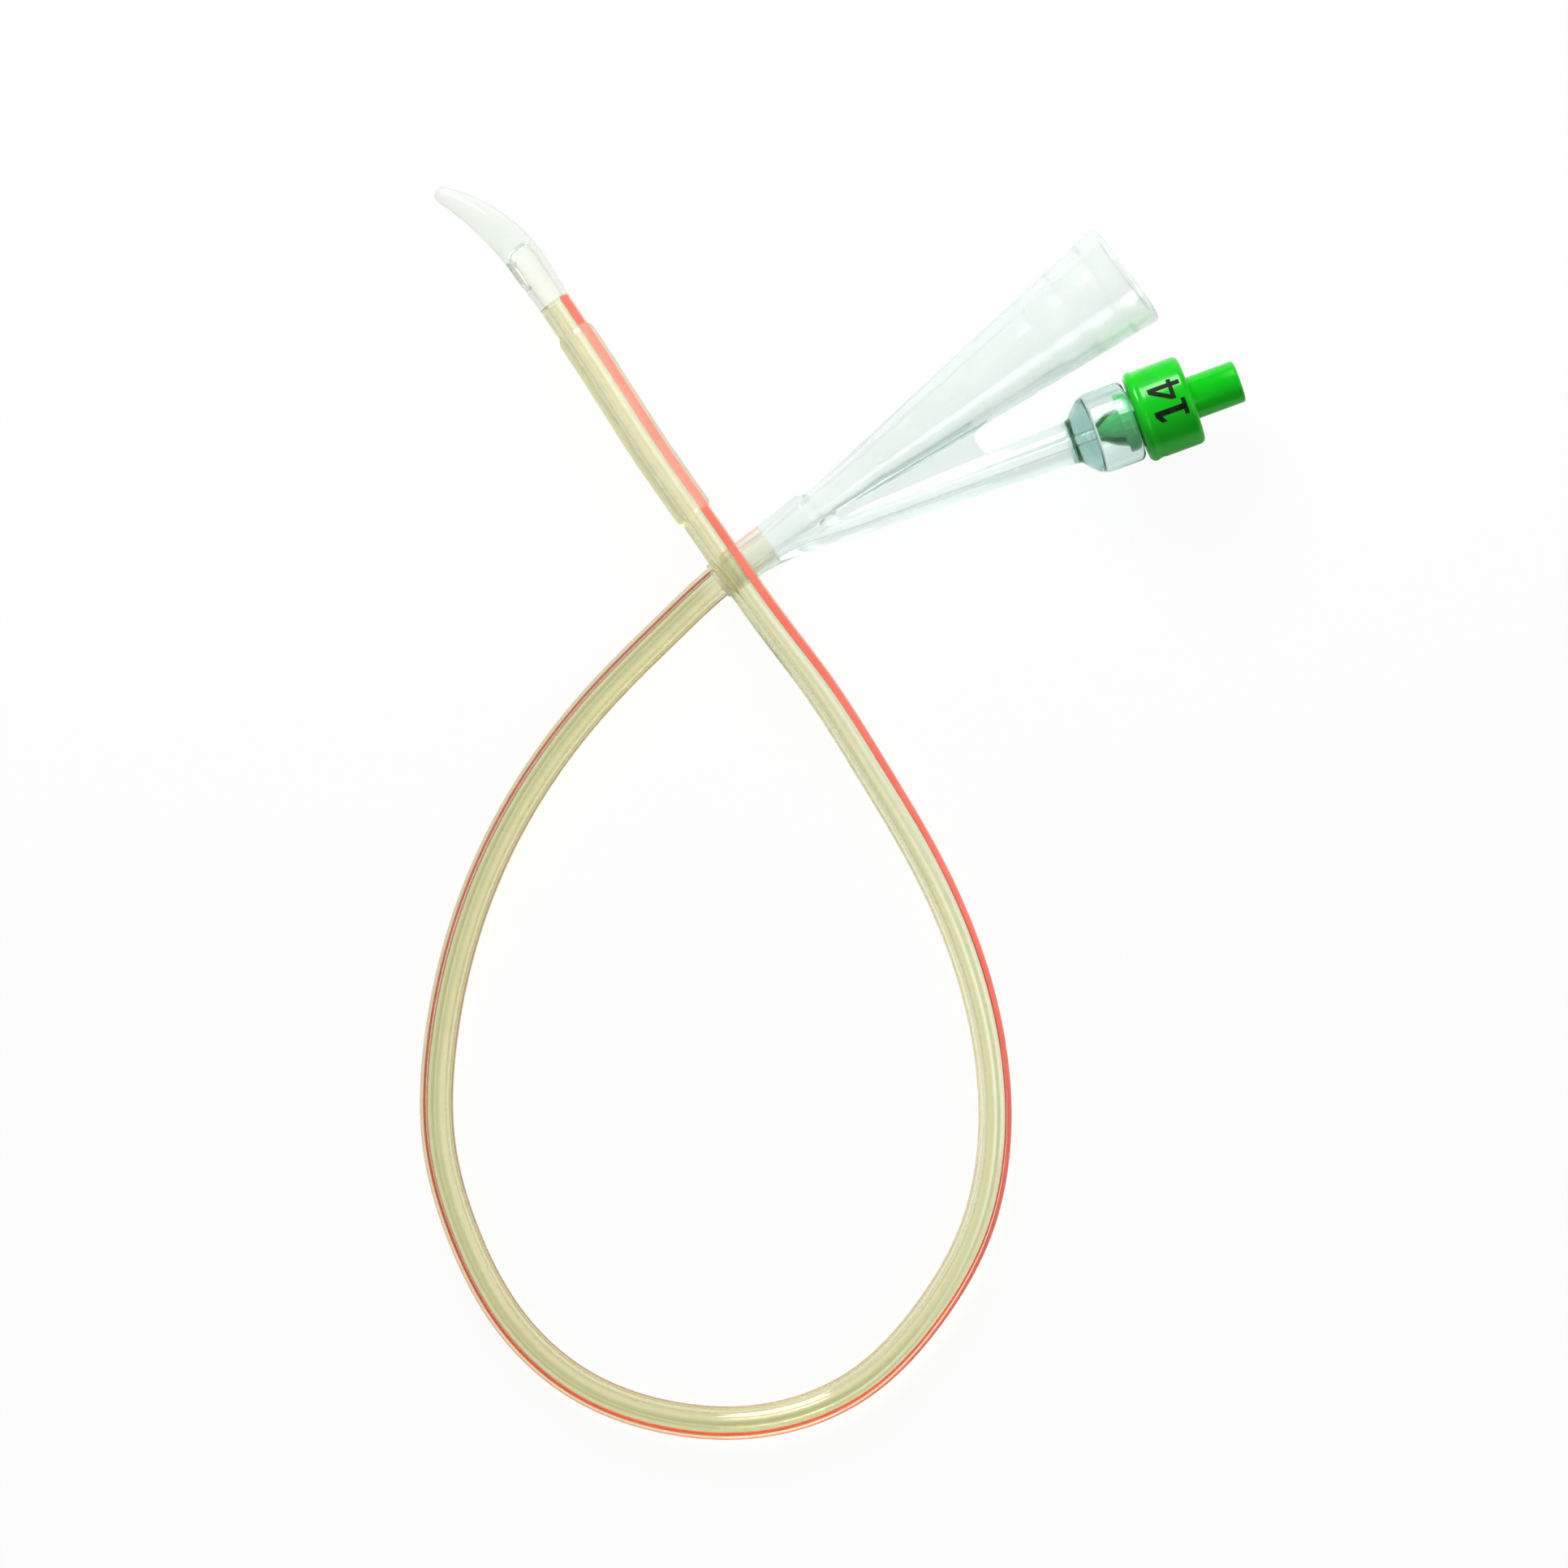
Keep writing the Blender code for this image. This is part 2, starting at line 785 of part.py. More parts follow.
# Narrow channel from the tube's inflation lumen to the socket
start_turn = line_turn_at(0.0) + math.pi
fill_y = math.sin(start_turn) * fill_lumen_at
fill_z = math.cos(start_turn) * fill_lumen_at
arm_way = Vector((math.cos(arm_angle), -math.sin(arm_angle), 0))
channel_start = Vector((pocket_end - 0.0005, fill_y, fill_z))
channel_bend = Vector((pocket_end + 0.0016, fill_y - 0.00030, fill_z * 0.9))
channel_points = [
    (channel_start, fill_lumen_diameter / 2),
    (channel_bend, fill_lumen_diameter / 2),
    (arm_way * 0.0125, (fill_lumen_diameter / 2 + arm_channel_radius) / 2),
    (arm_way * 0.0180, arm_channel_radius),
    (arm_way * 0.0360, arm_channel_radius),
    (arm_way * (socket_floor + 0.0008), arm_channel_radius),
]
way = bpy.data.curves.new("fill_channel", "CURVE")
way.dimensions = "3D"
way.bevel_depth = 1.0
way.bevel_resolution = 2
way.use_fill_caps = True
run = way.splines.new("POLY")
run.points.add(len(channel_points) - 1)
for point, (place, radius) in zip(run.points, channel_points):
    point.co = (*place, 1.0)
    point.radius = radius
channel = to_mesh(add("fill_channel", way, cutters, funnel_frame))
for cutter in (pocket, drain_bore, socket, channel):
    boolean(funnel, as_cutter(cutter), "DIFFERENCE")
finish(funnel, clear_silicone)

# Valve cap: collar with a bead, syringe port, and the seat inside
cap_bore = core_radius + core_fit_gap
bead = [
    (
        cap_start + cap_bead / 2 - cap_bead / 2 * math.cos(a),
        cap_radius - cap_bead / 2 * (1 - math.sin(a)),
    )
    for a in (math.radians(v) for v in (15, 45, 90, 135))
]
cap = turned(
    "valve_cap",
    [
        (port_end, port_bore_radius),
        (port_end, port_radius - cap_round / 2),
        (port_end - cap_round / 2, port_radius),
        (cap_end, port_radius),
        (cap_end, cap_radius - cap_round * 1.5),
        (cap_end - cap_round * 0.5, cap_radius - cap_round * 0.5),
        (cap_end - cap_round * 1.5, cap_radius - cap_groove),
        (cap_start + cap_bead * 1.15, cap_radius - cap_groove),
        *reversed(bead),
        (cap_start, cap_radius - cap_bead / 2),
        (cap_start, cap_bore),
        (seat_under, cap_bore),
        (seat_under, seat_hole_radius),
        (seat_under + seat_thickness, seat_hole_radius),
        (seat_under + seat_thickness, port_bore_radius - port_taper),
    ],
    parts,
    arm_axis,
)
finish(cap, cap_green)

# Valve core: pushed into the cap and the socket, with a cross-slotted nose
plug_radius = socket_bore_radius - plug_gap
plug_start = cap_start - valve_gap - plug_length
nose_end = socket_floor + nose_end_gap
core = turned(
    "valve_core",
    [
        (seat_under - core_fit_gap, chamber_radius),
        (seat_under - core_fit_gap, core_radius),
        (cap_start - valve_gap, core_radius),
        (cap_start - valve_gap, plug_radius),
        (plug_start, plug_radius),
        (plug_start, nose_radius),
        (plug_start - (plug_start - nose_end) * 0.5, (nose_radius + nose_tip_radius) * 0.56),
        (nose_end, nose_tip_radius),
        (nose_end, 0.0),
        (chamber_floor, 0.0),
        (chamber_floor, chamber_radius),
    ],
    parts,
    arm_axis,
    24,
)
for quarter in (0, 1):
    data = bpy.data.meshes.new("nose_slot")
    shape = bmesh.new()
    bmesh.ops.create_cube(shape, size=1.0)
    sizes = (slot_width, 3 * nose_radius, 2 * slot_depth)
    bmesh.ops.scale(shape, vec=sizes, verts=shape.verts)
    shape.to_mesh(data)
    shape.free()
    slot = as_cutter(add("nose_slot", data, cutters, arm_axis))
    slot.location = (0, 0, nose_end)
    slot.rotation_euler = (0, 0, math.radians(45 + 90 * quarter))
    boolean(core, slot, "DIFFERENCE")
way_through = turned(
    "core_way",
    [
        (chamber_floor + 0.0005, 0.0),
        (chamber_floor + 0.0005, slot_width * 0.6),
        (nose_end + slot_depth * 0.6, slot_width * 0.6),
        (nose_end + slot_depth * 0.6, 0.0),
    ],
    cutters,
    arm_axis,
    12,
    False,
    True,
)
boolean(core, as_cutter(way_through), "DIFFERENCE")
finish(core, core_green)

# Plunger with its seal, a hair off the seat at rest, and the spring behind it
seal_top = seat_under - valve_gap
head_top = seal_top - seal_thickness - core_fit_gap
head_under = head_top - head_thickness
stem_top = port_end - stem_sink
plunger = turned(
    "valve_plunger",
    [
        (stem_top, 0.0),
        (stem_top, stem_radius * 0.7),
        (stem_top - stem_radius * 0.3, stem_radius),
        (head_top, stem_radius),
        (head_top, head_radius),
        (head_under, head_radius),
        (head_under, guide_radius),
        (head_under - guide_length, guide_radius),
        (head_under - guide_length, 0.0),
    ],
    parts,
    arm_axis,
    16,
    False,
)
finish(plunger, plunger_white)
seal = turned(
    "plunger_seal",
    [
        (seal_top, stem_radius + core_fit_gap),
        (seal_top, head_radius - seal_thickness * 0.25),
        (seal_top - seal_thickness * 0.3, head_radius),
        (seal_top - seal_thickness, head_radius),
        (seal_top - seal_thickness, stem_radius + core_fit_gap),
    ],
    parts,
    arm_axis,
    16,
)
finish(seal, seal_grey)
spring_low = chamber_floor + valve_gap + spring_wire / 2
spring_high = head_under - valve_gap - spring_wire / 2
coil = bpy.data.curves.new("valve_spring", "CURVE")
coil.dimensions = "3D"
coil.bevel_depth = spring_wire / 2
coil.bevel_resolution = 1
coil.use_fill_caps = True
coil_steps = 10 * spring_turns
run = coil.splines.new("POLY")
run.points.add(coil_steps)
for i, point in enumerate(run.points):
    share = i / coil_steps
    turn = 2 * math.pi * spring_turns * share
    height = spring_low + (spring_high - spring_low) * share
    point.co = (spring_radius * math.cos(turn), spring_radius * math.sin(turn), height, 1.0)
spring = to_mesh(add("valve_spring", coil, parts, arm_axis))
finish(spring, spring_steel)
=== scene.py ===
"""A silicone bladder catheter with a curved tip and a syringe valve, lying in a loop.

The file is laid out as an add-on and run as a script. Each operator makes one piece, or a
group of like pieces, and the panel lists them. Lengths are in metres.
"""

import math

import bmesh
import bpy
import numpy as np
from bpy.props import FloatProperty, FloatVectorProperty, IntProperty, PointerProperty
from mathutils import Matrix, Vector, noise
from mathutils.geometry import tessellate_polygon


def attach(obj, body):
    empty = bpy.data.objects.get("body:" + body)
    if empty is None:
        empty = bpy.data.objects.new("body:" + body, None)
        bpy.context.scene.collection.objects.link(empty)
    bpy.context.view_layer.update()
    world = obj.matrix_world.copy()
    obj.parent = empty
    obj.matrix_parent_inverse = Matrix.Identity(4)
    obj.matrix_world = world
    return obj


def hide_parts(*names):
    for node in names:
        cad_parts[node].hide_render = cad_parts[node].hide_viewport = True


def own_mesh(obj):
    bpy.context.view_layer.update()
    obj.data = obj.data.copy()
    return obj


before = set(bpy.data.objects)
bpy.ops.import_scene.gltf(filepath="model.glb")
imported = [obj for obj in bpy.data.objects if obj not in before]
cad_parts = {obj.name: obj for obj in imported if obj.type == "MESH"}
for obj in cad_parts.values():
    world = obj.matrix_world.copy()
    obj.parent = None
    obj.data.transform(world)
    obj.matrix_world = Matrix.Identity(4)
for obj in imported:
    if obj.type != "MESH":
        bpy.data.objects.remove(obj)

bl_info = {
    "name": "Balloon Catheter",
    "version": (1, 0, 0),
    "blender": (4, 5, 0),
    "location": "3D View > Sidebar > Catheter",
    "description": "Builds a silicone balloon catheter round its frame",
    "category": "Add Mesh",
}

# Place of the point where the funnel's two axes meet, and the sizes that set its tilt
MEET_X = 0.0106
MEET_Y = 0.0183
TAIL_START = -0.0044
TAIL_RADIUS = 0.002755
TAIL_END_AT = 0.0113
TAIL_END_RADIUS = 0.003105
MOUTH_AT = 0.0669
MOUTH_RADIUS = 0.0078
LIP_ROUND = 0.0007
PITCH = math.atan((MOUTH_RADIUS - TAIL_RADIUS) / (MOUTH_AT - LIP_ROUND - TAIL_START))
MEET_Z = TAIL_RADIUS * math.cos(PITCH) - TAIL_START * math.sin(PITCH)
POCKET_END = 0.0049
POCKET_END_GAP = 0.0003
ARM_ANGLE = math.radians(16.9)
CROTCH_AT = 0.0387
# Bonded pieces sink this far into each other, so that no air is left between them
BOND = 0.00001

# Lays a body that was made about Z along X, and turns that to the arm and to its place
ALONG_X = Matrix.Rotation(math.pi / 2, 4, "Y")
ARM_TURN = Matrix.Rotation(-ARM_ANGLE, 4, "Z")
FUNNEL_PLACE = Matrix.Translation((MEET_X, MEET_Y, MEET_Z)) @ Matrix.Rotation(-PITCH, 4, "Y")
ARM_AXIS = FUNNEL_PLACE @ ARM_TURN @ ALONG_X

# Route of the tube in plan from the funnel to the tip, from the point where the axes meet
ROUTE = [
    (-0.014, -0.001), (-0.0275, -0.003), (-0.0405, -0.0065), (-0.053, -0.012),
    (-0.0645, -0.0195), (-0.0745, -0.0285), (-0.083, -0.0395), (-0.088, -0.052),
    (-0.09, -0.0655), (-0.0875, -0.0785), (-0.08, -0.09), (-0.069, -0.0985),
    (-0.056, -0.102), (-0.0425, -0.1), (-0.03, -0.0945), (-0.02, -0.0855),
    (-0.0125, -0.074), (-0.0075, -0.0615), (-0.0045, -0.048), (-0.003, -0.0345),
    (-0.002, -0.021), (-0.002, -0.0075), (-0.0015, 0.0065), (-0.001, 0.02),
    (0.0, 0.0335), (0.0007, 0.0449),
]  # fmt: skip
HUMP_HALF_LENGTH = 0.055
CROSSING_GAP = 0.0003
TAIL_RAMP = 0.018
TIP_SWELL = 0.0003
TIP_SWELL_AT = 0.0070
TIP_SKIN = 0.00013
EYE_AT = 0.0058
EYE_DEPTH = 0.0006

# Drainage lumen's offset from the tube's centre, and the inflation lumen's depth
DRAIN_OFFSET = 0.0001
FILL_DEPTH = 0.00055

# Turn of the X-ray line in degrees, from the top to the loop's outside, by the length
LINE_TURNS = [
    (0.0, 100), (0.04, 102), (0.07, 104), (0.12, 95), (0.15, 90),
    (0.18, 82), (0.21, 70), (0.25, 64), (0.30, 48), (0.38, 46),
]  # fmt: skip
LINE_DEPTH = 0.00004
LINE_THICKNESS = 0.0003

# Wall of the balloon, its gap from the tube, and the heights of its folds and grain
BALLOON_WALL = 0.0004
BALLOON_GAP = 0.00003
BALLOON_FOLDS = 0.00003
BALLOON_GRAINS = 0.000005

WEB_START = 0.0150
WEB_HALF = 0.0015
RIDGES = (0.0520, 0.05745, 0.0629)
# Profile of a ridge in the drainage bore, by place and share of its height
RIDGE_STEPS = (
    (-0.0009, 0),
    (-0.0004, -0.25),
    (-0.0001, -0.30),
    (0.0002, 0.35),
    (0.0006, 0.9),
    (0.0010, 1),
)
CHANNEL_RADIUS = 0.0007

# The cap's plain band lies this much lower than its bead
CAP_RELIEF = 0.00012
SPRING_RADIUS = 0.00145
SPRING_WIRE = 0.0004
SPRING_TURNS = 5

# Outlines and holes of the printed digits, for a height of 1
DIGIT_ONE = (
    [
        (-0.26, 0.0), (0.24, 0.0), (0.24, 0.13), (0.08, 0.13), (0.08, 1.0), (-0.05, 1.0),
        (-0.27, 0.86), (-0.27, 0.70), (-0.09, 0.80), (-0.09, 0.13), (-0.26, 0.13),
    ],
    [],
)  # fmt: skip
DIGIT_FOUR = (
    [
        (0.06, 0.0), (0.20, 0.0), (0.20, 0.23), (0.31, 0.23), (0.31, 0.36), (0.20, 0.36),
        (0.20, 0.98), (0.04, 0.98), (-0.33, 0.37), (-0.33, 0.23), (0.06, 0.23),
    ],
    [[(0.06, 0.36), (-0.18, 0.36), (0.06, 0.75)]],
)  # fmt: skip
INK_DEPTH = 0.00001
# Place of the number's middle along the arm, and its turn from the top
NUMBER_AT = 0.0631
NUMBER_TURN = math.radians(6)

# Width and middle of what the camera sees, and depth of the floor under the lowest point
VIEW_WIDTH = 0.2195
VIEW_MIDDLE = (-0.00342, -0.00996, 0.004)
FLOOR_DROP = 0.00003
# Height of the finest relief on the moulded and drawn surfaces
RELIEF = 0.00002

# Painted highlight lines and painted shade lines round the tube, which stand in for light bent by
# its lumens, by the share of a turn from the side opposite its X-ray line
PAINTED_LUMEN_LINES = (
    (0.060, (0.97, 0.94, 0.82)),
    (0.130, (0.99, 0.97, 0.88)),
    (0.180, (0.99, 0.99, 0.95)),
    (0.225, (0.86, 0.88, 0.76)),
    (0.240, (0.76, 0.79, 0.66)),
    (0.285, (0.80, 0.82, 0.70)),
    (0.300, (0.99, 1.00, 0.97)),
    (0.318, (0.99, 1.00, 0.97)),
    (0.334, (0.76, 0.79, 0.67)),
    (0.362, (0.82, 0.84, 0.74)),
    (0.390, (0.99, 1.00, 0.97)),
)
# Painted shade on the tube by the length along it, from white in the funnel's tail
FUNNEL_FADE = (0.007, 0.013)
PAINTED_SHADE_ALONG = (
    (FUNNEL_FADE[0], (1, 1, 1)),
    (FUNNEL_FADE[1], (0.90, 0.89, 0.82)),
    (0.16, (0.90, 0.89, 0.82)),
    (0.23, (1, 1, 1)),
)


# Properties


def length_prop(name, description, default):
    return FloatProperty(
        name=name, description=description, default=default, subtype="DISTANCE", unit="LENGTH"
    )


def angle_prop(name, description, degrees):
    return FloatProperty(
        name=name, description=description, default=math.radians(degrees), subtype="ANGLE"
    )


def colour_prop(name, description, default):
    return FloatVectorProperty(
        name=name, description=description, default=default, subtype="COLOR", min=0, max=1
    )


class TubeSizes(bpy.types.PropertyGroup):
    """Sizes of the tube and of what is on it."""

    diameter: length_prop("Tube diameter", "Outside diameter of the tube", 0.00467)
    drain_lumen: length_prop("Drainage lumen", "Diameter of the drainage lumen", 0.0026)
    fill_lumen: length_prop("Inflation lumen", "Diameter of the inflation lumen", 0.0007)
    line_width: angle_prop(
        "X-ray line", "Angle that the X-ray line takes up, seen from the tube's centre", 38
    )
    balloon_start: length_prop(
        "Balloon start", "Distance of the balloon's rear end from the tube's end", 0.0363
    )
    balloon_end: length_prop(
        "Balloon end", "Distance of the balloon's front end from the tube's end", 0.0050
    )
    sides: IntProperty(
        name="Sides", description="Sides of the tube's outside", default=72, min=12
    )


class TipSizes(bpy.types.PropertyGroup):
    """Sizes of the curved tip."""

    straight: length_prop("Straight", "Length of the straight part behind the bend", 0.0055)
    bend_radius: length_prop("Bend radius", "Radius of the bend at the tip's centre", 0.0293)
    bend_angle: angle_prop("Bend", "Angle through which the tip bends", 35)
    nose_radius: length_prop("Nose radius", "Radius of the round nose", 0.0012)
    lumen_diameter: length_prop("Lumen", "Diameter of the lumen in the tip", 0.0031)
    lumen_length: length_prop(
        "Lumen length", "Depth of the lumen from the joint with the tube", 0.0095
    )
    eye_length: length_prop("Eye length", "Length of the drainage eye", 0.0048)
    eye_width: length_prop("Eye width", "Width of the drainage eye", 0.0022)


class FunnelSizes(bpy.types.PropertyGroup):
    """Sizes of the funnel, its arm and the valve's socket."""

    wall: length_prop("Wall", "Wall of the drainage funnel", 0.0016)
    ridge: length_prop("Ridge", "Height of each ridge in the drainage bore", 0.00020)
    arm_radius: length_prop("Arm radius", "Radius of the inflation arm at the crotch", 0.0026)
    socket_radius: length_prop("Socket radius", "Outside radius of the valve's socket", 0.00575)
    skin: length_prop("Skin grid", "Grid of the moulded skin", 0.00022)
    fillet: length_prop(
        "Fillet", "Size of the soft corners where the funnel, the arm and the web meet", 0.0012
    )


class ValveSizes(bpy.types.PropertyGroup):
    """Sizes of the valve's cap and its print."""

    cap_radius: length_prop("Cap radius", "Outside radius of the valve's cap", 0.0065)
    port_radius: length_prop("Port radius", "Outside radius of the syringe port", 0.0030)
    number_height: length_prop("Number height", "Height of the digits on the cap", 0.0047)


class Finishes(bpy.types.PropertyGroup):
    """Colours of the catheter's materials."""

    tube: colour_prop("Tube", "Colour of the tube's silicone", (0.985, 0.98, 0.93))
    clear: colour_prop(
        "Funnel silicone", "Colour of the funnel's silicone", (0.893, 0.905, 0.893)
    )
    tip: colour_prop("Tip silicone", "Colour of the tip's silicone", (0.915, 0.91, 0.875))
    balloon: colour_prop("Balloon", "Colour of the balloon's silicone", (0.975, 0.975, 0.95))
    line: colour_prop("X-ray line", "Colour of the X-ray line", (0.79, 0.072, 0.042))
    cap: colour_prop("Cap", "Colour of the valve's cap", (0.001, 0.50, 0.006))


class CatheterSettings(bpy.types.PropertyGroup):
    """Everything that the panel shows."""

    tube: PointerProperty(type=TubeSizes)
    tip: PointerProperty(type=TipSizes)
    funnel: PointerProperty(type=FunnelSizes)
    valve: PointerProperty(type=ValveSizes)
    finishes: PointerProperty(type=Finishes)


def settings():
    return bpy.context.scene.catheter


# Route of the tube


def smooth_plan(points, steps):
    """The natural cubic curve through the points, with some steps between each two."""
    points = np.array(points)
    chords = np.linalg.norm(np.diff(points, axis=0), axis=1)
    left = np.eye(len(points))
    right = np.zeros_like(points)
    for i in range(1, len(points) - 1):
        left[i, i - 1 : i + 2] = chords[i - 1], 2 * (chords[i - 1] + chords[i]), chords[i]
        ahead = (points[i + 1] - points[i]) / chords[i]
        behind = (points[i] - points[i - 1]) / chords[i - 1]
        right[i] = 6 * (ahead - behind)
    bends = np.linalg.solve(left, right)
    found = []
    for i, chord in enumerate(chords):
        for k in range(steps):
            t = k / steps
            u = 1 - t
            bow = (u**3 - u) * bends[i] + (t**3 - t) * bends[i + 1]
            found.append(u * points[i] + t * points[i + 1] + bow * chord**2 / 6)
    found.append(points[-1])
    return np.array(found)


def lengths_along(points):
    steps = np.linalg.norm(np.diff(points, axis=0), axis=1)
    return np.concatenate([[0.0], np.cumsum(steps)])


def eased(share):
    share = np.clip(share, 0.0, 1.0)
    return 1 - 3 * share**2 + 2 * share**3


def unit(rows):
    """Rows of vectors, each brought to a length of 1."""
    return rows / np.linalg.norm(rows, axis=1)[:, None]


class TubeRoute:
    """The tube's centreline in space, from the end of its pocket in the funnel to the tip."""

    def __init__(self):
        radius = self.radius = settings().tube.diameter / 2
        inside = [(POCKET_END - POCKET_END_GAP, 0.0), (TAIL_START, 0.0)]
        plan = smooth_plan([*inside, *ROUTE], 60)
        along = lengths_along(plan)
        # Past the tail's end it comes down from the funnel's tilted axis to the ground
        from_meeting = inside[0][0] - along
        tilted = MEET_Z + from_meeting * math.tan(PITCH)
        past = np.clip((TAIL_START - from_meeting) / TAIL_RAMP, 0.0, 1.0)
        ramp = (
            eased(past) * (MEET_Z + TAIL_START * math.tan(PITCH))
            - (past - 2 * past**2 + past**3) * math.tan(PITCH) * TAIL_RAMP
            + (1 - eased(past)) * radius
        )
        heights = np.where(from_meeting > TAIL_START, tilted, ramp)
        # It passes over the funnel's tail in a long low hump
        later = along > along[-1] / 2
        crossing = along[later][np.argmin(np.abs(plan[later][:, 1]))]
        over_x = np.interp(crossing, along, plan[:, 0])
        over = MEET_Z + over_x * math.tan(PITCH) + TAIL_END_RADIUS + CROSSING_GAP + radius
        rest = radius + TIP_SWELL * (along > crossing)
        hump = eased(np.abs(along - crossing) / HUMP_HALF_LENGTH)
        heights = np.where(later, rest + hump * (over - rest), heights)
        self.points = np.column_stack([plan[:, 0] + MEET_X, plan[:, 1] + MEET_Y, heights])
        self.along = lengths_along(self.points)
        self.length = float(self.along[-1])

    def place(self, s):
        """Points at some lengths along it, which go straight on past its ends."""
        inside = np.clip(s, 0.0, self.length)
        found = np.column_stack([np.interp(inside, self.along, part) for part in self.points.T])
        first = self.points[1] - self.points[0]
        last = self.points[-1] - self.points[-2]
        before = np.minimum(s, 0.0)[:, None] * first / np.linalg.norm(first)
        after = np.maximum(s - self.length, 0.0)[:, None] * last / np.linalg.norm(last)
        return found + before + after

    def at(self, stations):
        """Points and the directions ahead at some stations."""
        stations = np.atleast_1d(stations).astype(float)
        near = 0.0006
        return self.place(stations), unit(
            self.place(stations + near) - self.place(stations - near)
        )


def line_turn(stations):
    """Angle of the X-ray line about the tube at some stations, from the top to the right."""
    known, turns = zip(*LINE_TURNS)
    return np.radians(np.interp(stations, known, turns))


# Making pieces


def deselect():
    for chosen in list(bpy.context.selected_objects):
        chosen.select_set(False)


def pick(piece):
    """Selects one object alone and makes it the active one."""
    deselect()
    piece.select_set(True)
    bpy.context.view_layer.objects.active = piece
    return piece


def add_object(name, data):
    made = bpy.data.objects.new(name, data)
    bpy.context.scene.collection.objects.link(made)
    return made


def swept(name, stations, centres, ahead, outlines):
    """A closed body that carries an outline, with holes in it, along a path.

    outlines has an array of (stations, corners, 2) for the outside and for each hole, as
    distances to the right and up, seen along the directions ahead.
    """
    rights = unit(np.cross(ahead, (0.0, 0.0, 1.0)))
    ups = np.cross(rights, ahead)
    counts = [outline.shape[1] for outline in outlines]
    total = sum(counts)
    places = np.concatenate(outlines, axis=1)
    spots = (
        centres[:, None, :]
        + places[:, :, :1] * rights[:, None, :]
        + places[:, :, 1:] * ups[:, None, :]
    )
    faces = []
    marks = []
    last = len(stations) - 1
    start = 0
    for number, count in enumerate(counts):
        for i in range(last):
            low = i * total + start
            high = low + total
            for k in range(count):
                after = (k + 1) % count
                corners = [low + k, low + after, high + after, high + k]
                mark = [
                    (stations[i + far], (k + side) / count)
                    for far, side in ((0, 0), (0, 1), (1, 1), (1, 0))
                ]
                if number:
                    corners.reverse()
                    mark.reverse()
                faces.append(corners)
                marks.extend(mark)
        start += count
    for ring, forward in ((0, False), (last, True)):
        loops = np.split(places[ring], np.cumsum(counts)[:-1])
        flat = [[Vector((x, y, 0.0)) for x, y in loop] for loop in loops]
        listed = [corner for loop in flat for corner in loop]
        for a, b, c in tessellate_polygon(flat):
            area = (listed[b] - listed[a]).cross(listed[c] - listed[a]).z
            corners = [ring * total + v for v in (a, b, c)]
            # Seen from behind, right and up give a face that looks back
            if (area > 0) == forward:
                corners.reverse()
            faces.append(corners)
            marks.extend([(stations[ring], 0.0)] * 3)
    data = bpy.data.meshes.new(name)
    data.from_pydata(spots.reshape(-1, 3), [], faces)
    layer = data.uv_layers.new(name="along")
    layer.data.foreach_set("uv", np.array(marks, float).ravel())
    data.shade_smooth()
    data.set_sharp_from_angle(angle=math.radians(40))
    data.validate()
    return add_object(name, data)


def round_outline(radius, sides, turns, offset=0.0):
    """A round outline at each station, off the centre on the line's side by offset."""
    around = np.linspace(0, 2 * math.pi, sides, endpoint=False)
    angles = np.asarray(turns)[:, None] + around[None, :]
    radius = np.broadcast_to(np.asarray(radius), angles.shape)
    x = radius * np.sin(angles) + offset * np.sin(turns)[:, None]
    y = radius * np.cos(angles) + offset * np.cos(turns)[:, None]
    return np.stack([x, y], axis=2)


def turned(name, profile, sides=72, ring=False):
    """A turned body about Z. A circle is drawn out and resized along the profile.

    The profile lists (height, radius) points. A ring's profile comes back to its start.
    """
    deselect()
    (height, radius), *others = profile
    bpy.ops.mesh.primitive_circle_add(
        vertices=sides, radius=radius, fill_type="NOTHING", location=(0, 0, 0)
    )
    piece = bpy.context.object
    piece.name = name
    bpy.ops.object.mode_set(mode="EDIT")
    bpy.ops.mesh.select_all(action="SELECT")
    bpy.ops.transform.translate(value=(0, 0, height))
    if ring:
        others = [*others, profile[0]]
    else:
        bpy.ops.mesh.edge_face_add()
        bpy.ops.mesh.select_all(action="SELECT")
    for next_height, next_radius in others:
        bpy.ops.mesh.extrude_region_move(
            TRANSFORM_OT_translate={"value": (0, 0, next_height - height)}
        )
        grow = next_radius / radius
        bpy.ops.transform.resize(value=(grow, grow, 1), center_override=(0, 0, next_height))
        height = next_height
        radius = next_radius
    bpy.ops.mesh.select_all(action="SELECT")
    bpy.ops.mesh.remove_doubles(threshold=1e-7)
    bpy.ops.mesh.normals_make_consistent(inside=False)
    bpy.ops.object.mode_set(mode="OBJECT")
    return piece


def arc(height, radius, size, start, end, count):
    """Points of a round corner, as (height, radius), by angles from the turned axis."""
    return [
        (height + size * math.cos(a), radius + size * math.sin(a))
        for a in np.radians(np.linspace(start, end, count))
    ]


def apply_step(piece, kind, name, **values):
    """Adds a modifier with its values and applies it."""
    pick(piece)
    step = piece.modifiers.new(name, kind)
    for key, value in values.items():
        setattr(step, key, value)
    bpy.ops.object.modifier_apply(modifier=step.name)
    return piece


def combine(piece, other, operation):
    apply_step(piece, "BOOLEAN", "Combine", object=other, operation=operation, solver="EXACT")
    bpy.data.objects.remove(other)
    return piece


def even_skin(piece, size):
    return apply_step(
        piece, "REMESH", "Even skin", mode="VOXEL", voxel_size=size, use_smooth_shade=True
    )


def smooth_faces(piece, angle):
    pick(piece)
    bpy.ops.object.shade_smooth_by_angle(angle=math.radians(angle))
    return piece


def put(piece, place):
    """Moves the mesh itself, so that the object stays at the origin."""
    piece.data.transform(piece.matrix_world)
    piece.data.transform(place)
    piece.matrix_world = Matrix.Identity(4)
    return piece


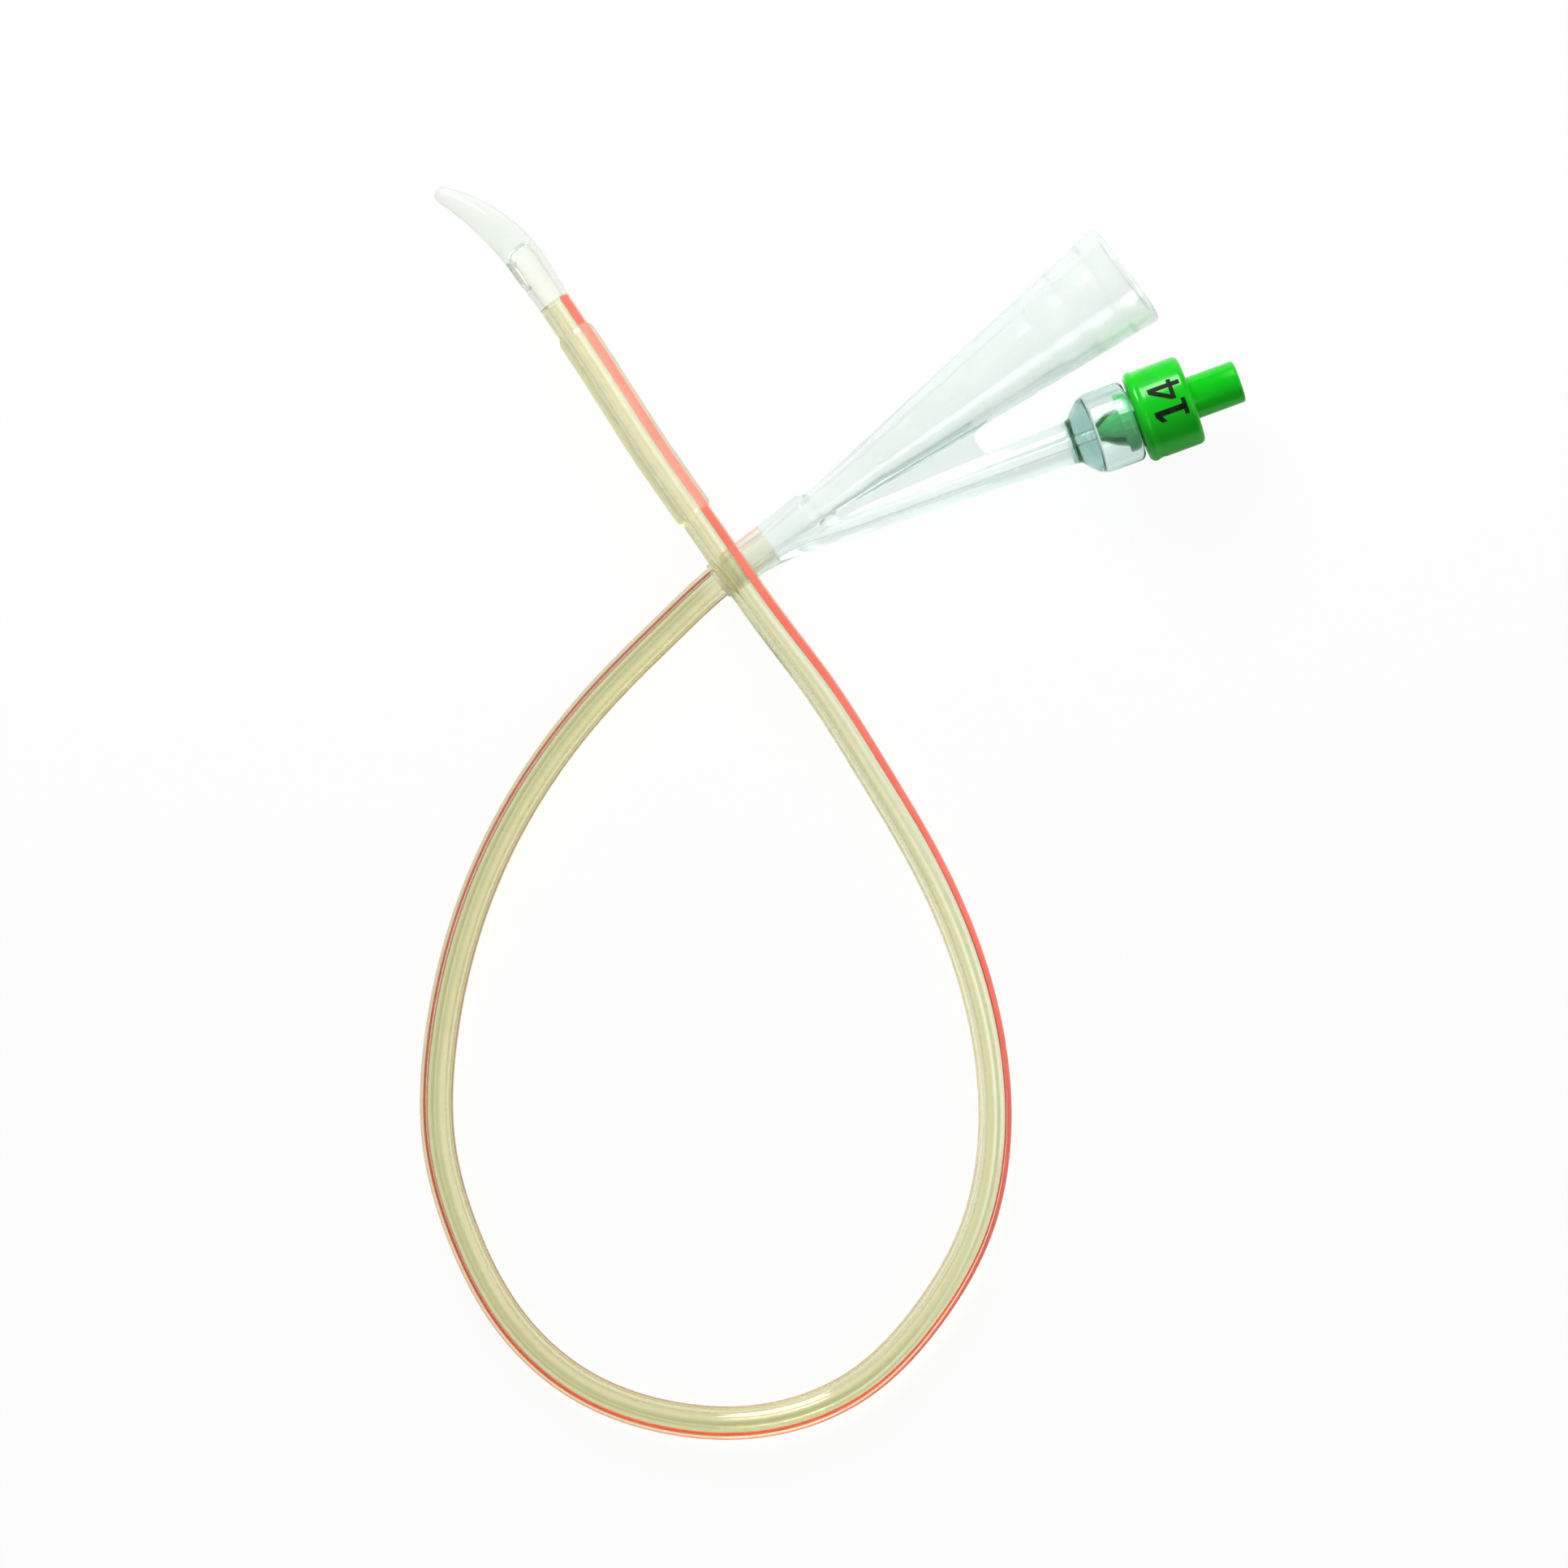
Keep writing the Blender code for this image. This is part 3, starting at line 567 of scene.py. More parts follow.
def outline_distance(points, outline):
    """Signed distance of 2D points from a closed outline, less than zero inside it."""
    near = np.full(len(points), 1e9)
    inside = np.zeros(len(points), bool)
    for start, end in zip(outline, np.roll(outline, -1, axis=0)):
        run = end - start
        away = points - start
        share = np.clip(away @ run / max(run @ run, 1e-18), 0.0, 1.0)
        near = np.minimum(near, np.linalg.norm(away - share[:, None] * run, axis=1))
        if start[1] != end[1]:
            between = (start[1] > points[:, 1]) != (end[1] > points[:, 1])
            reach = start[0] + (points[:, 1] - start[1]) * run[0] / run[1]
            inside ^= between & (points[:, 0] < reach)
    return np.where(inside, -near, near)


def turned_distance(points, profile):
    """Signed distance from a body that is turned about X."""
    around = np.hypot(points[:, 1], points[:, 2])
    both = [*profile, *[(s, -r) for s, r in reversed(profile)]]
    return outline_distance(np.column_stack([points[:, 0], around]), np.array(both))


def blended(first, second, size):
    """The nearer of two distances, with a fillet of some size where they meet."""
    near = np.clip(size - np.abs(first - second), 0.0, None) / size
    return np.minimum(first, second) - near**2 * size / 4


def read_vectors(parts, key):
    """Rows of one vector of a mesh's parts."""
    found = np.empty(len(parts) * 3)
    parts.foreach_get(key, found)
    return found.reshape(-1, 3)


def slopes_of(distance, points):
    """How fast a distance grows along each axis, at some points."""
    small = 1e-5
    return np.column_stack(
        [
            (distance(points + shift) - distance(points - shift)) / (2 * small)
            for shift in np.eye(3) * small
        ]
    )


def settle(piece, distance):
    """Moves the corners of a piece onto the surface at which a distance is zero."""
    points = read_vectors(piece.data.vertices, "co")
    furthest = 0.0003
    for _ in range(4):
        value = distance(points)
        slopes = slopes_of(distance, points)
        steep = np.maximum((slopes**2).sum(axis=1), 0.25)
        points = points - np.clip(value / steep, -furthest, furthest)[:, None] * slopes
    piece.data.vertices.foreach_set("co", points.ravel())
    piece.data.update()
    return piece


def shade_as(piece, form, reach=0.00003):
    """Sets a moulded skin on its exact form, with that form's normals, where it lies near.

    form returns the outward normals and the distances of an array of points.
    """
    data = piece.data
    spots = read_vectors(data.vertices, "co")
    normals, distances = form(spots)
    normals = normals / np.maximum(np.linalg.norm(normals, axis=1), 1e-12)[:, None]
    corners = np.empty(len(data.loops), dtype=int)
    data.loops.foreach_get("vertex_index", corners)
    sizes = np.empty(len(data.polygons), dtype=int)
    data.polygons.foreach_get("loop_total", sizes)
    facing = np.repeat(read_vectors(data.polygons, "normal"), sizes, axis=0)
    near = np.abs(distances) < reach
    spots[near] -= normals[near] * distances[near][:, None]
    data.vertices.foreach_set("co", spots.ravel())
    wanted = normals[corners]
    kept = near[corners] & (np.einsum("ij,ij->i", facing, wanted) > 0.9)
    data.normals_split_custom_set(np.where(kept[:, None], wanted, 0.0).tolist())


# Materials


def fill(node, values):
    """Links the inputs that are given a socket, and sets the others."""
    for key, value in values.items():
        if isinstance(value, bpy.types.NodeSocket):
            node.id_data.links.new(value, node.inputs[key])
        else:
            node.inputs[key].default_value = value


def add_node(tree, kind, values=None, **choices):
    made = tree.nodes.new("ShaderNode" + kind)
    for key, value in choices.items():
        setattr(made, key, value)
    fill(made, values or {})
    return made


def calculate(tree, operation, *values):
    made = add_node(tree, "Math", dict(enumerate(values)), operation=operation)
    return made.outputs[0]


def ranged(tree, value, low, high, to_low=0.0, to_high=1.0):
    """A value between two limits, brought to another range."""
    limits = {"From Min": low, "From Max": high, "To Min": to_low, "To Max": to_high}
    return add_node(tree, "MapRange", {"Value": value, **limits}).outputs["Result"]


def noise_on(tree, place, scale, detail=2.0, roughness=0.5):
    values = {"Vector": place, "Scale": scale, "Detail": detail, "Roughness": roughness}
    return add_node(tree, "TexNoise", values).outputs["Fac"]


def mix_colours(tree, share, first, second, blend="MIX"):
    values = {0: share, 6: first, 7: second}
    return add_node(tree, "Mix", values, data_type="RGBA", blend_type=blend).outputs[2]


def mix_shaders(tree, share, first, second):
    values = {"Fac": share, 1: first.outputs[0], 2: second.outputs[0]}
    return add_node(tree, "MixShader", values).outputs["Shader"]


def new_material(name):
    made = bpy.data.materials.new(name)
    made.use_nodes = True
    return made, made.node_tree, made.node_tree.nodes["Principled BSDF"]


def lighter(colour, gain, lift):
    return tuple(min(1.0, c * gain + lift) for c in colour)


def moulded_skin():
    """Node group for moulded silicone: faint haze, a tint that drifts, and a fine skin."""
    found = bpy.data.node_groups.get("moulded_skin")
    if found:
        return found
    tree = bpy.data.node_groups.new("moulded_skin", "ShaderNodeTree")
    for direction, name, kind in (
        ("INPUT", "Place", "Vector"),
        ("INPUT", "Colour", "Color"),
        ("INPUT", "Haze Colour", "Color"),
        ("INPUT", "Patch Scale", "Float"),
        ("INPUT", "Grain Scale", "Float"),
        ("INPUT", "Roughness Low", "Float"),
        ("INPUT", "Roughness High", "Float"),
        ("OUTPUT", "Colour", "Color"),
        ("OUTPUT", "Roughness", "Float"),
        ("OUTPUT", "Height", "Float"),
    ):
        kind = "NodeSocket" + kind
        tree.interface.new_socket(name=name, in_out=direction, socket_type=kind)
    given = tree.nodes.new("NodeGroupInput").outputs
    grain = noise_on(tree, given["Place"], given["Grain Scale"], 3.0, 0.6)
    patches = noise_on(tree, given["Place"], given["Patch Scale"], 4.0)
    share = ranged(tree, patches, 0.35, 0.68)
    both = calculate(tree, "MULTIPLY_ADD", grain, 0.5, share)
    low, high = given["Roughness Low"], given["Roughness High"]
    sent = {
        "Colour": mix_colours(tree, share, given["Colour"], given["Haze Colour"]),
        "Roughness": ranged(tree, both, 0.2, 1.3, low, high),
        "Height": grain,
    }
    fill(tree.nodes.new("NodeGroupOutput"), sent)
    return tree


def skinned(name, colour, haze, scales, rough, bump, along=()):
    """A new material whose shader has the moulded skin."""
    made, tree, shader = new_material(name)
    place = add_node(tree, "TexCoord").outputs
    spot = place["Object"]
    if along:
        stretch = {"Vector": place["UV"], "Scale": (*along, 1)}
        spot = add_node(tree, "Mapping", stretch).outputs["Vector"]
    values = {
        "Place": spot,
        "Colour": (*colour, 1),
        "Haze Colour": (*haze, 1),
        "Patch Scale": scales[0],
        "Grain Scale": scales[1],
        "Roughness Low": rough[0],
        "Roughness High": rough[1],
    }
    skin = add_node(tree, "Group", values, node_tree=moulded_skin()).outputs
    relief = {"Height": skin["Height"], "Strength": bump[0], "Distance": bump[1]}
    normal = add_node(tree, "Bump", relief).outputs["Normal"]
    fill(shader, {"Base Color": skin["Colour"], "Roughness": skin["Roughness"]})
    fill(shader, {"Normal": normal})
    return made, tree, shader


def silicone(name, colour, haze, absorbed, density, transmission, rough, scales, bump, along=()):
    """Silicone that light passes through, with absorption in its depth.

    along stretches the pattern on the piece's own map, by length and round, as on a tube.
    """
    made, tree, shader = skinned(name, colour, haze, scales, rough, bump, along)
    fill(shader, {"IOR": 1.41, "Transmission Weight": transmission, "Specular IOR Level": 0.4})
    # Its shadow is clear, and tinted once for each of two faces
    shadow = add_node(tree, "LightPath").outputs["Is Shadow Ray"]
    through = add_node(tree, "BsdfTransparent", {"Color": (*[c * c for c in colour], 1)})
    depth = {"Color": (*absorbed, 1), "Density": density}
    ends = {
        "Surface": mix_shaders(tree, shadow, shader, through),
        "Volume": add_node(tree, "VolumeAbsorption", depth).outputs["Volume"],
    }
    fill(tree.nodes["Material Output"], ends)
    return made


def clear_silicone(name, colour, transmission, density, rough=(0.11, 0.15)):
    """Clear moulded silicone, more or less milky."""
    haze = lighter(colour, 1, 0.02)
    absorbed = (0.0, 0.50, 0.42)
    scales = (160.0, 2600.0)
    bump = (0.04, RELIEF)
    return silicone(name, colour, haze, absorbed, density, transmission, rough, scales, bump)


def plastic(name, colour, worn, rough, scale=900.0, bump=0.08, metallic=0.0, specular=0.5):
    """Moulded plastic or drawn metal with a faint grain and scuffs."""
    made, _, shader = skinned(name, colour, worn, (scale / 4, scale * 4), rough, (bump, RELIEF))
    fill(shader, {"Metallic": metallic, "Specular IOR Level": specular})
    return made


def give(piece, look):
    piece.data.materials.clear()
    piece.data.materials.append(look)


def colours_along(tree, value, stops):
    """Colours that change with a value from stop to stop."""
    ramp = add_node(tree, "ValToRGB", {"Fac": value})
    made = ramp.color_ramp.elements
    made[0].position = stops[0][0]
    made[1].position = stops[-1][0]
    for position, _ in stops[1:-1]:
        made.new(position)
    for stop, (_, colour) in zip(made, stops):
        stop.color = (*colour, 1)
    return ramp.outputs["Color"]


def paint_lines_and_shade(look):
    """Painted highlight lines and painted shade lines along an extruded tube, which stand in for
    light bent by its lumens, at set angles from its X-ray line.

    Its first half has painted shade, apart from the end in the funnel, which has neither painted
    lines nor painted shade.
    """
    tree = look.node_tree
    base = tree.nodes["Principled BSDF"].inputs["Base Color"]
    place = add_node(tree, "TexCoord").outputs["UV"]
    split = add_node(tree, "SeparateXYZ", {"Vector": place}).outputs
    middle = calculate(tree, "SUBTRACT", split["Y"], 0.5)
    # Painted highlight and shade lines round the tube, left out in the funnel's tail
    painted_lines = colours_along(tree, calculate(tree, "ABSOLUTE", middle), PAINTED_LUMEN_LINES)
    tail = ranged(tree, split["X"], *FUNNEL_FADE)
    lines_painted = mix_colours(tree, tail, base.links[0].from_socket, painted_lines, "MULTIPLY")
    # Painted shade along the tube's first half, none in the funnel's tail
    painted_shade = colours_along(tree, split["X"], PAINTED_SHADE_ALONG)
    tree.links.new(mix_colours(tree, 1.0, lines_painted, painted_shade, "MULTIPLY"), base)


def seen_share(tree, share):
    """A value that is share for what the camera and clear pieces show, or else 0."""
    path = add_node(tree, "LightPath").outputs
    either = calculate(tree, "MAXIMUM", path["Is Camera Ray"], path["Is Transmission Ray"])
    return calculate(tree, "MULTIPLY", either, share)


# Operators


def softbox(name, place, size, power):
    data = bpy.data.lights.new(name, "AREA")
    data.shape = "SQUARE"
    data.size = size
    data.energy = power
    lamp = add_object(name, data)
    lamp.location = place
    lamp.rotation_mode = "QUATERNION"
    lamp.rotation_quaternion = (-Vector(place)).to_track_quat("-Z", "Y")


class CATHETER_OT_stage(bpy.types.Operator):
    """Makes the camera, the pale floor, the soft lamps and the plain surroundings"""

    bl_idname = "catheter.stage"
    bl_label = "Stage"

    def execute(self, context):
        scene = context.scene
        scene.view_settings.view_transform = "Standard"
        data = bpy.data.cameras.new("camera")
        data.lens = 100.0
        data.sensor_width = 36.0
        data.clip_start = 0.01
        data.clip_end = 20.0
        distance = VIEW_WIDTH * data.lens / data.sensor_width
        right = Vector((0.8, -0.6, 0.0))
        up = Vector((0.6, 0.8, 0.0))
        turn = Matrix((right, up, right.cross(up))).transposed().to_4x4()
        above = Vector(VIEW_MIDDLE) + Vector((0, 0, distance))
        scene.camera = add_object("camera", data)
        scene.camera.matrix_world = Matrix.Translation(above) @ turn

        deselect()
        bpy.ops.mesh.primitive_plane_add(size=6.0, location=(0, 0, -FLOOR_DROP))
        floor = context.object
        floor.name = "floor"
        give(floor, self.floor_look())

        world = bpy.data.worlds.new("surroundings")
        world.use_nodes = True
        scene.world = world
        tree = world.node_tree
        light = tree.nodes["Background"]
        fill(light, {"Color": (1.0, 1.0, 1.0, 1), "Strength": 0.20})
        shown = add_node(tree, "Background", {"Color": (1.0, 1.0, 1.0, 1)})
        mix = mix_shaders(tree, seen_share(tree, 1.0), light, shown)
        fill(tree.nodes["World Output"], {"Surface": mix})

        softbox("key_lamp", (0.18, 0.50, 0.36), 0.30, 4.6)
        softbox("fill_lamp", (0.45, -0.30, 0.40), 0.40, 0.9)
        return {"FINISHED"}

    def floor_look(self):
        """White to the camera, and darker in clear pieces where they bend the view aslant."""
        look, tree, shader = new_material("floor_white")
        place = add_node(tree, "TexCoord").outputs["Object"]
        tone = ranged(tree, noise_on(tree, place, 300.0), 0.0, 1.0, 0.90, 0.92)
        fill(shader, {"Base Color": tone, "Roughness": 0.9, "Specular IOR Level": 0.1})
        slant = add_node(tree, "LayerWeight", {"Blend": 0.5}).outputs["Facing"]
        clear = add_node(tree, "LightPath").outputs["Is Transmission Ray"]
        beside = calculate(tree, "MULTIPLY", slant, clear)
        fall = ranged(tree, beside, 0.15, 0.75, 1.0, 0.62)
        glow = add_node(tree, "Emission", {"Strength": fall})
        mix = mix_shaders(tree, seen_share(tree, 0.93), shader, glow)
        fill(tree.nodes["Material Output"], {"Surface": mix})
        return look


class CATHETER_OT_tube(bpy.types.Operator):
    """Makes the tube with its two lumens and the X-ray line in its wall"""

    bl_idname = "catheter.tube"
    bl_label = "Tube"

    def execute(self, context):
        sizes = settings().tube
        route = TubeRoute()
        radius = route.radius
        stations = np.linspace(0.0, route.length, 720)
        centres, ahead = route.at(stations)
        turns = line_turn(stations)
        outlines = [
            round_outline(radius, sizes.sides, turns),
            round_outline(sizes.drain_lumen / 2, 40, turns, DRAIN_OFFSET),
            round_outline(sizes.fill_lumen / 2, 20, turns, -(radius - FILL_DEPTH)),
        ]
        tube = swept("tube", stations, centres, ahead, outlines)
        colour = tuple(settings().finishes.tube)
        look = silicone(
            "tube_silicone_extruded",
            colour,
            lighter(colour, 1, 0.03),
            (0.60, 0.62, 0.0),
            95.0,
            0.95,
            (0.04, 0.10),
            (1.0, 6.0),
            (0.02, RELIEF),
            (6.0, 10.0),
        )
        # Paints highlight lines, shade lines and a shade along the length into the tube's colour
        paint_lines_and_shade(look)
        give(tube, look)
        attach(tube, "catheter")
        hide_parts("shaft_tube")

        half = sizes.line_width / 2
        around = np.linspace(-half, half, 9)
        outer = radius - LINE_DEPTH
        inner = outer - LINE_THICKNESS
        angles = turns[:, None] + np.concatenate([around, around[::-1]])[None, :]
        reach = np.array([outer] * 9 + [inner] * 9)[None, :]
        outline = np.stack([reach * np.sin(angles), reach * np.cos(angles)], axis=2)
        line = swept("x_ray_strand", stations, centres, ahead, [outline])
        red = tuple(settings().finishes.line)
        paler = lighter(red, 1.08, 0.02)
        give(line, plastic("x_ray_strand_red", red, paler, (0.35, 0.5), 700.0))
        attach(line, "catheter")
        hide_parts("x_ray_line")
        return {"FINISHED"}


class CATHETER_OT_balloon(bpy.types.Operator):
    """Makes the empty balloon: a frosted sleeve bonded round the tube"""

    bl_idname = "catheter.balloon"
    bl_label = "Balloon"

    def execute(self, context):
        sizes = settings().tube
        route = TubeRoute()
        radius = route.radius
        start = route.length - sizes.balloon_start
        end = route.length - sizes.balloon_end
        stations = np.linspace(start, end, 250)
        centres, ahead = route.at(stations)
        turns = line_turn(stations)
        sides = 128
        from_end = np.minimum(stations - start, end - stations)
        thick = BALLOON_WALL * np.sqrt(np.clip(from_end / 0.0009, 0.03, 1.0))
        outer = np.zeros((len(stations), sides))
        around = np.linspace(0, 2 * math.pi, sides, endpoint=False)
        for i, station in enumerate(stations):
            settled = min(1.0, from_end[i] / 0.002)
            for k, a in enumerate(around):
                place = Vector((station * 1000, 2.8 * math.cos(a), 2.8 * math.sin(a)))
                folds = noise.noise(place * 0.30) * BALLOON_FOLDS
                grains = noise.noise(place * 2.6) * BALLOON_GRAINS
                outer[i, k] = radius + BALLOON_GAP + thick[i] + settled * (folds + grains)
        outlines = [
            round_outline(outer, sides, turns),
            round_outline(radius - BOND, 72, turns),
        ]
        balloon = swept("balloon", stations, centres, ahead, outlines)
        look = silicone(
            "balloon_silicone_frosted",
            tuple(settings().finishes.balloon),
            (0.99, 0.99, 0.96),
            (0.60, 0.60, 0.20),
            6.0,
            0.965,
            (0.14, 0.26),
            (500.0, 3200.0),
            (0.35, RELIEF),
        )
        give(balloon, look)
        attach(balloon, "catheter")
        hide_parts("balloon_sleeve")
        return {"FINISHED"}


class CATHETER_OT_tip(bpy.types.Operator):
    """Makes the curved tip with its lumen and drainage eye"""

    bl_idname = "catheter.tip"
    bl_label = "Curved Tip"

    def execute(self, context):
        sizes = settings().tip
        route = TubeRoute()
        radius = route.radius
        ends, directions = route.at([route.length])
        root = Vector(ends[0])
        ahead = Vector((directions[0][0], directions[0][1], 0)).normalized()
        left = Vector((0, 0, 1)).cross(ahead)
        length = sizes.straight + sizes.bend_radius * sizes.bend_angle
        round_from = length - sizes.nose_radius

        def centre(s):
            turn = max(0.0, s - sizes.straight) / sizes.bend_radius
            forward = min(s, sizes.straight) + sizes.bend_radius * math.sin(turn)
            return root + ahead * forward + left * sizes.bend_radius * (1 - math.cos(turn))

        def centreline(stations):
            heads = [centre(s + 1e-4) - centre(s - 1e-4) for s in stations]
            return np.array([centre(s) for s in stations]), unit(np.array(heads))

        def thickness(s):
            if s <= TIP_SWELL_AT:
                swell = 1 - math.cos(math.pi * max(0.0, s) / TIP_SWELL_AT)
                return radius + TIP_SWELL * swell / 2
            share = min(1.0, (s - TIP_SWELL_AT) / (round_from - TIP_SWELL_AT))
            full = radius + TIP_SWELL
            found = sizes.nose_radius + (full - sizes.nose_radius) * (1 - share**2)
            past = min(1.0, max(0.0, s - round_from) / sizes.nose_radius)
            return found * math.sqrt(max(0.0, 1 - past**2))

        def run(name, stations, reach, sides):
            wide = np.array([reach(s) for s in stations])[:, None]
            outline = round_outline(wide, sides, np.zeros(len(stations)))
            return swept(name, stations, *centreline(stations), [outline])

        nose = round_from + sizes.nose_radius * np.sin(np.radians(np.arange(9, 88, 6)))
        tip = run("tip", np.array([*np.linspace(-0.00008, round_from, 60), *nose]), thickness, 64)
        hole = sizes.lumen_diameter / 2
        crown = hole * 0.6
        dome = sizes.lumen_length - crown

        def bore(s):
            past = max(0.0, s - dome) / crown
            return hole * math.sqrt(max(0.003, 1 - past**2))

        deep = [-0.001, *np.linspace(0.001, dome, 12)]
        deep += [dome + crown * math.sin(math.radians(a)) for a in range(8, 90, 9)]
        combine(tip, run("tip_lumen", np.array(deep), bore, 48), "DIFFERENCE")
        deselect()
        bpy.ops.mesh.primitive_cylinder_add(
            vertices=48, radius=sizes.eye_length / 2, depth=radius * 3, location=(0, 0, 0)
        )
        eye = context.object
        out = (left + Vector((0, 0, 0.45))).normalized()
        across = out.cross(ahead) * (sizes.eye_width / sizes.eye_length)
        turn = Matrix((ahead, across, out)).transposed().to_4x4()
        put(eye, Matrix.Translation(centre(EYE_AT) + out * (EYE_DEPTH + radius * 1.5)) @ turn)
        combine(tip, eye, "DIFFERENCE")
        even_skin(tip, TIP_SKIN)
        apply_step(tip, "SMOOTH", "Soft rims", factor=0.5, iterations=8)
        smooth_faces(tip, 60)

        known = np.linspace(-0.0002, length, 900)
        places, heads = centreline(known)
        thick = np.array([thickness(s) for s in known])
        wide = np.array([bore(s) for s in known])
        middle = np.array(centre(round_from))

        def moulded(points):
            nearest = np.concatenate(
                [
                    np.argmin(((part[:, None, :] - places[None]) ** 2).sum(axis=2), axis=1)
                    for part in np.array_split(points, len(points) // 2000 + 1)
                ]
            )
            ahead_there = heads[nearest]
            radial = points - places[nearest]
            radial -= ahead_there * np.einsum("ij,ij->i", radial, ahead_there)[:, None]
            far = np.linalg.norm(radial, axis=1)
            radial /= np.maximum(far, 1e-9)[:, None]
            outer = radial - ahead_there * np.gradient(thick, known)[nearest][:, None]
            nosed = known[nearest] > round_from
            outer[nosed] = (points - middle)[nosed]
            inner = ahead_there * np.gradient(wide, known)[nearest][:, None] - radial
            inside = np.abs(far - wide[nearest]) < np.abs(far - thick[nearest])
            off = np.where(inside, wide[nearest] - far, far - thick[nearest])
            off[nosed] = np.linalg.norm((points - middle)[nosed], axis=1) - sizes.nose_radius
            return np.where(inside[:, None], inner, outer), off

        shade_as(tip, moulded, 0.00008)
        colour = settings().finishes.tip
        give(tip, clear_silicone("tip_silicone_moulded", colour, 0.86, 26.0))
        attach(tip, "catheter")
        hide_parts("curved_tip")
        return {"FINISHED"}


class CATHETER_OT_funnel(bpy.types.Operator):
    """Makes the Y-shaped funnel with its bores, ridges, arm and valve socket"""

    bl_idname = "catheter.funnel"
    bl_label = "Funnel"

    def execute(self, context):
        sizes = settings().funnel
        shoulder = 0.0129
        base = 0.00235
        slope = (MOUTH_RADIUS - base) / (MOUTH_AT - LIP_ROUND - shoulder)

        def outside(s):
            return base + slope * (s - shoulder)

        cone_profile = [
            (TAIL_START, TAIL_RADIUS),
            (TAIL_END_AT, TAIL_END_RADIUS),
            (shoulder, base),
            *[(s, outside(s)) for s in np.linspace(0.02, 0.065, 6)],
            *arc(MOUTH_AT - LIP_ROUND, MOUTH_RADIUS - LIP_ROUND, LIP_ROUND, 90, 0, 8),
        ]
        arm_profile = [
            (0.0035, 0.00171),
            (TAIL_END_AT, 0.0019),
            (CROTCH_AT, sizes.arm_radius),
            (0.0484, 0.00296),
            (0.0489, 0.00285),
        ]
        body = turned("funnel", cone_profile, 72)
        put(body, ALONG_X)
        arm = turned("arm", arm_profile, 64)
        put(arm, ARM_TURN @ ALONG_X)
        combine(body, arm, "UNION")
        sheet = self.web_outline(outside(CROTCH_AT))
        combine(body, self.web(sheet), "UNION")
        even_skin(body, sizes.skin)
        back = np.array(ARM_TURN.inverted().to_3x3())
        sheet = np.array(sheet)

        def skin(points):
            cone = turned_distance(points, cone_profile)
            branch = turned_distance(points @ back.T, arm_profile)
            film = np.maximum(
                outline_distance(points[:, :2], sheet), np.abs(points[:, 2]) - WEB_HALF
            )
            return blended(blended(cone, branch, sizes.fillet), film, sizes.fillet * 0.6)

        settle(body, skin)

        # Drainage bore with its step and ridges, and the tube's pocket
        def bored(s):
            return outside(s) - sizes.wall

        profile = [(0.0040, 0.0013), (shoulder, 0.00165), (0.0233, 0.0020), (0.0238, 0.0022)]
        for count, place in enumerate(RIDGES):
            for step, rise in RIDGE_STEPS:
                profile.append((place + step, bored(place + step) + sizes.ridge * (count + rise)))
        profile.append((MOUTH_AT + 0.001, bored(MOUTH_AT) + sizes.ridge * len(RIDGES)))
        bores = turned("drain_bore", profile, 64)
        pocket_radius = settings().tube.diameter / 2 - BOND
        pocket_end = POCKET_END - POCKET_END_GAP - BOND
        pocket = turned(
            "pocket", [(TAIL_START - 0.001, pocket_radius), (pocket_end, pocket_radius)], 72
        )
        combine(bores, pocket, "UNION")
        put(bores, ALONG_X)
        combine(bores, self.channel(), "UNION")
        combine(body, bores, "DIFFERENCE")
        put(body, FUNNEL_PLACE)
        smooth_faces(body, 38)
        home = np.array(FUNNEL_PLACE.inverted())
        out = np.array(FUNNEL_PLACE.to_3x3())

        def moulded(points):
            local = points @ home[:3, :3].T + home[:3, 3]
            return slopes_of(skin, local) @ out.T, skin(local)

        shade_as(body, moulded)
        colour = settings().finishes.clear
        give(body, clear_silicone("funnel_silicone_moulded", colour, 0.80, 34.0))
        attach(body, "catheter")
        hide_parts("y_funnel")
        self.socket()
        return {"FINISHED"}

    def web_outline(self, near):
        """Outline of the web between the arms, with its round crotch."""
        arm_radius = settings().funnel.arm_radius
        far = CROTCH_AT * math.tan(ARM_ANGLE) - arm_radius / math.cos(ARM_ANGLE)
        half = (far - near) / 2 + 0.0002
        corners = [(WEB_START, -near * WEB_START / CROTCH_AT), (CROTCH_AT, -near * 0.7)]
        for a in np.radians(np.linspace(90, 270, 25)):
            back = abs(math.cos(a)) ** 0.5 * half * 1.15
            side = math.copysign(abs(math.sin(a)) ** 0.5, math.sin(a)) * half
            corners.append((CROTCH_AT - back, side - (near + far) / 2))
        return corners + [(s, -s * math.tan(ARM_ANGLE)) for s in (CROTCH_AT, WEB_START)]

    def web(self, corners):
        data = bpy.data.meshes.new("web")
        data.from_pydata([(x, y, -WEB_HALF) for x, y in corners], [], [range(len(corners))])
        web = pick(add_object("web", data))
        bpy.ops.object.mode_set(mode="EDIT")
        bpy.ops.mesh.select_all(action="SELECT")
        bpy.ops.mesh.extrude_region_move(
            TRANSFORM_OT_translate={"value": (0, 0, 2 * WEB_HALF)}
        )
        bpy.ops.mesh.select_all(action="SELECT")
        bpy.ops.mesh.normals_make_consistent(inside=False)
        bpy.ops.object.mode_set(mode="OBJECT")
        return web

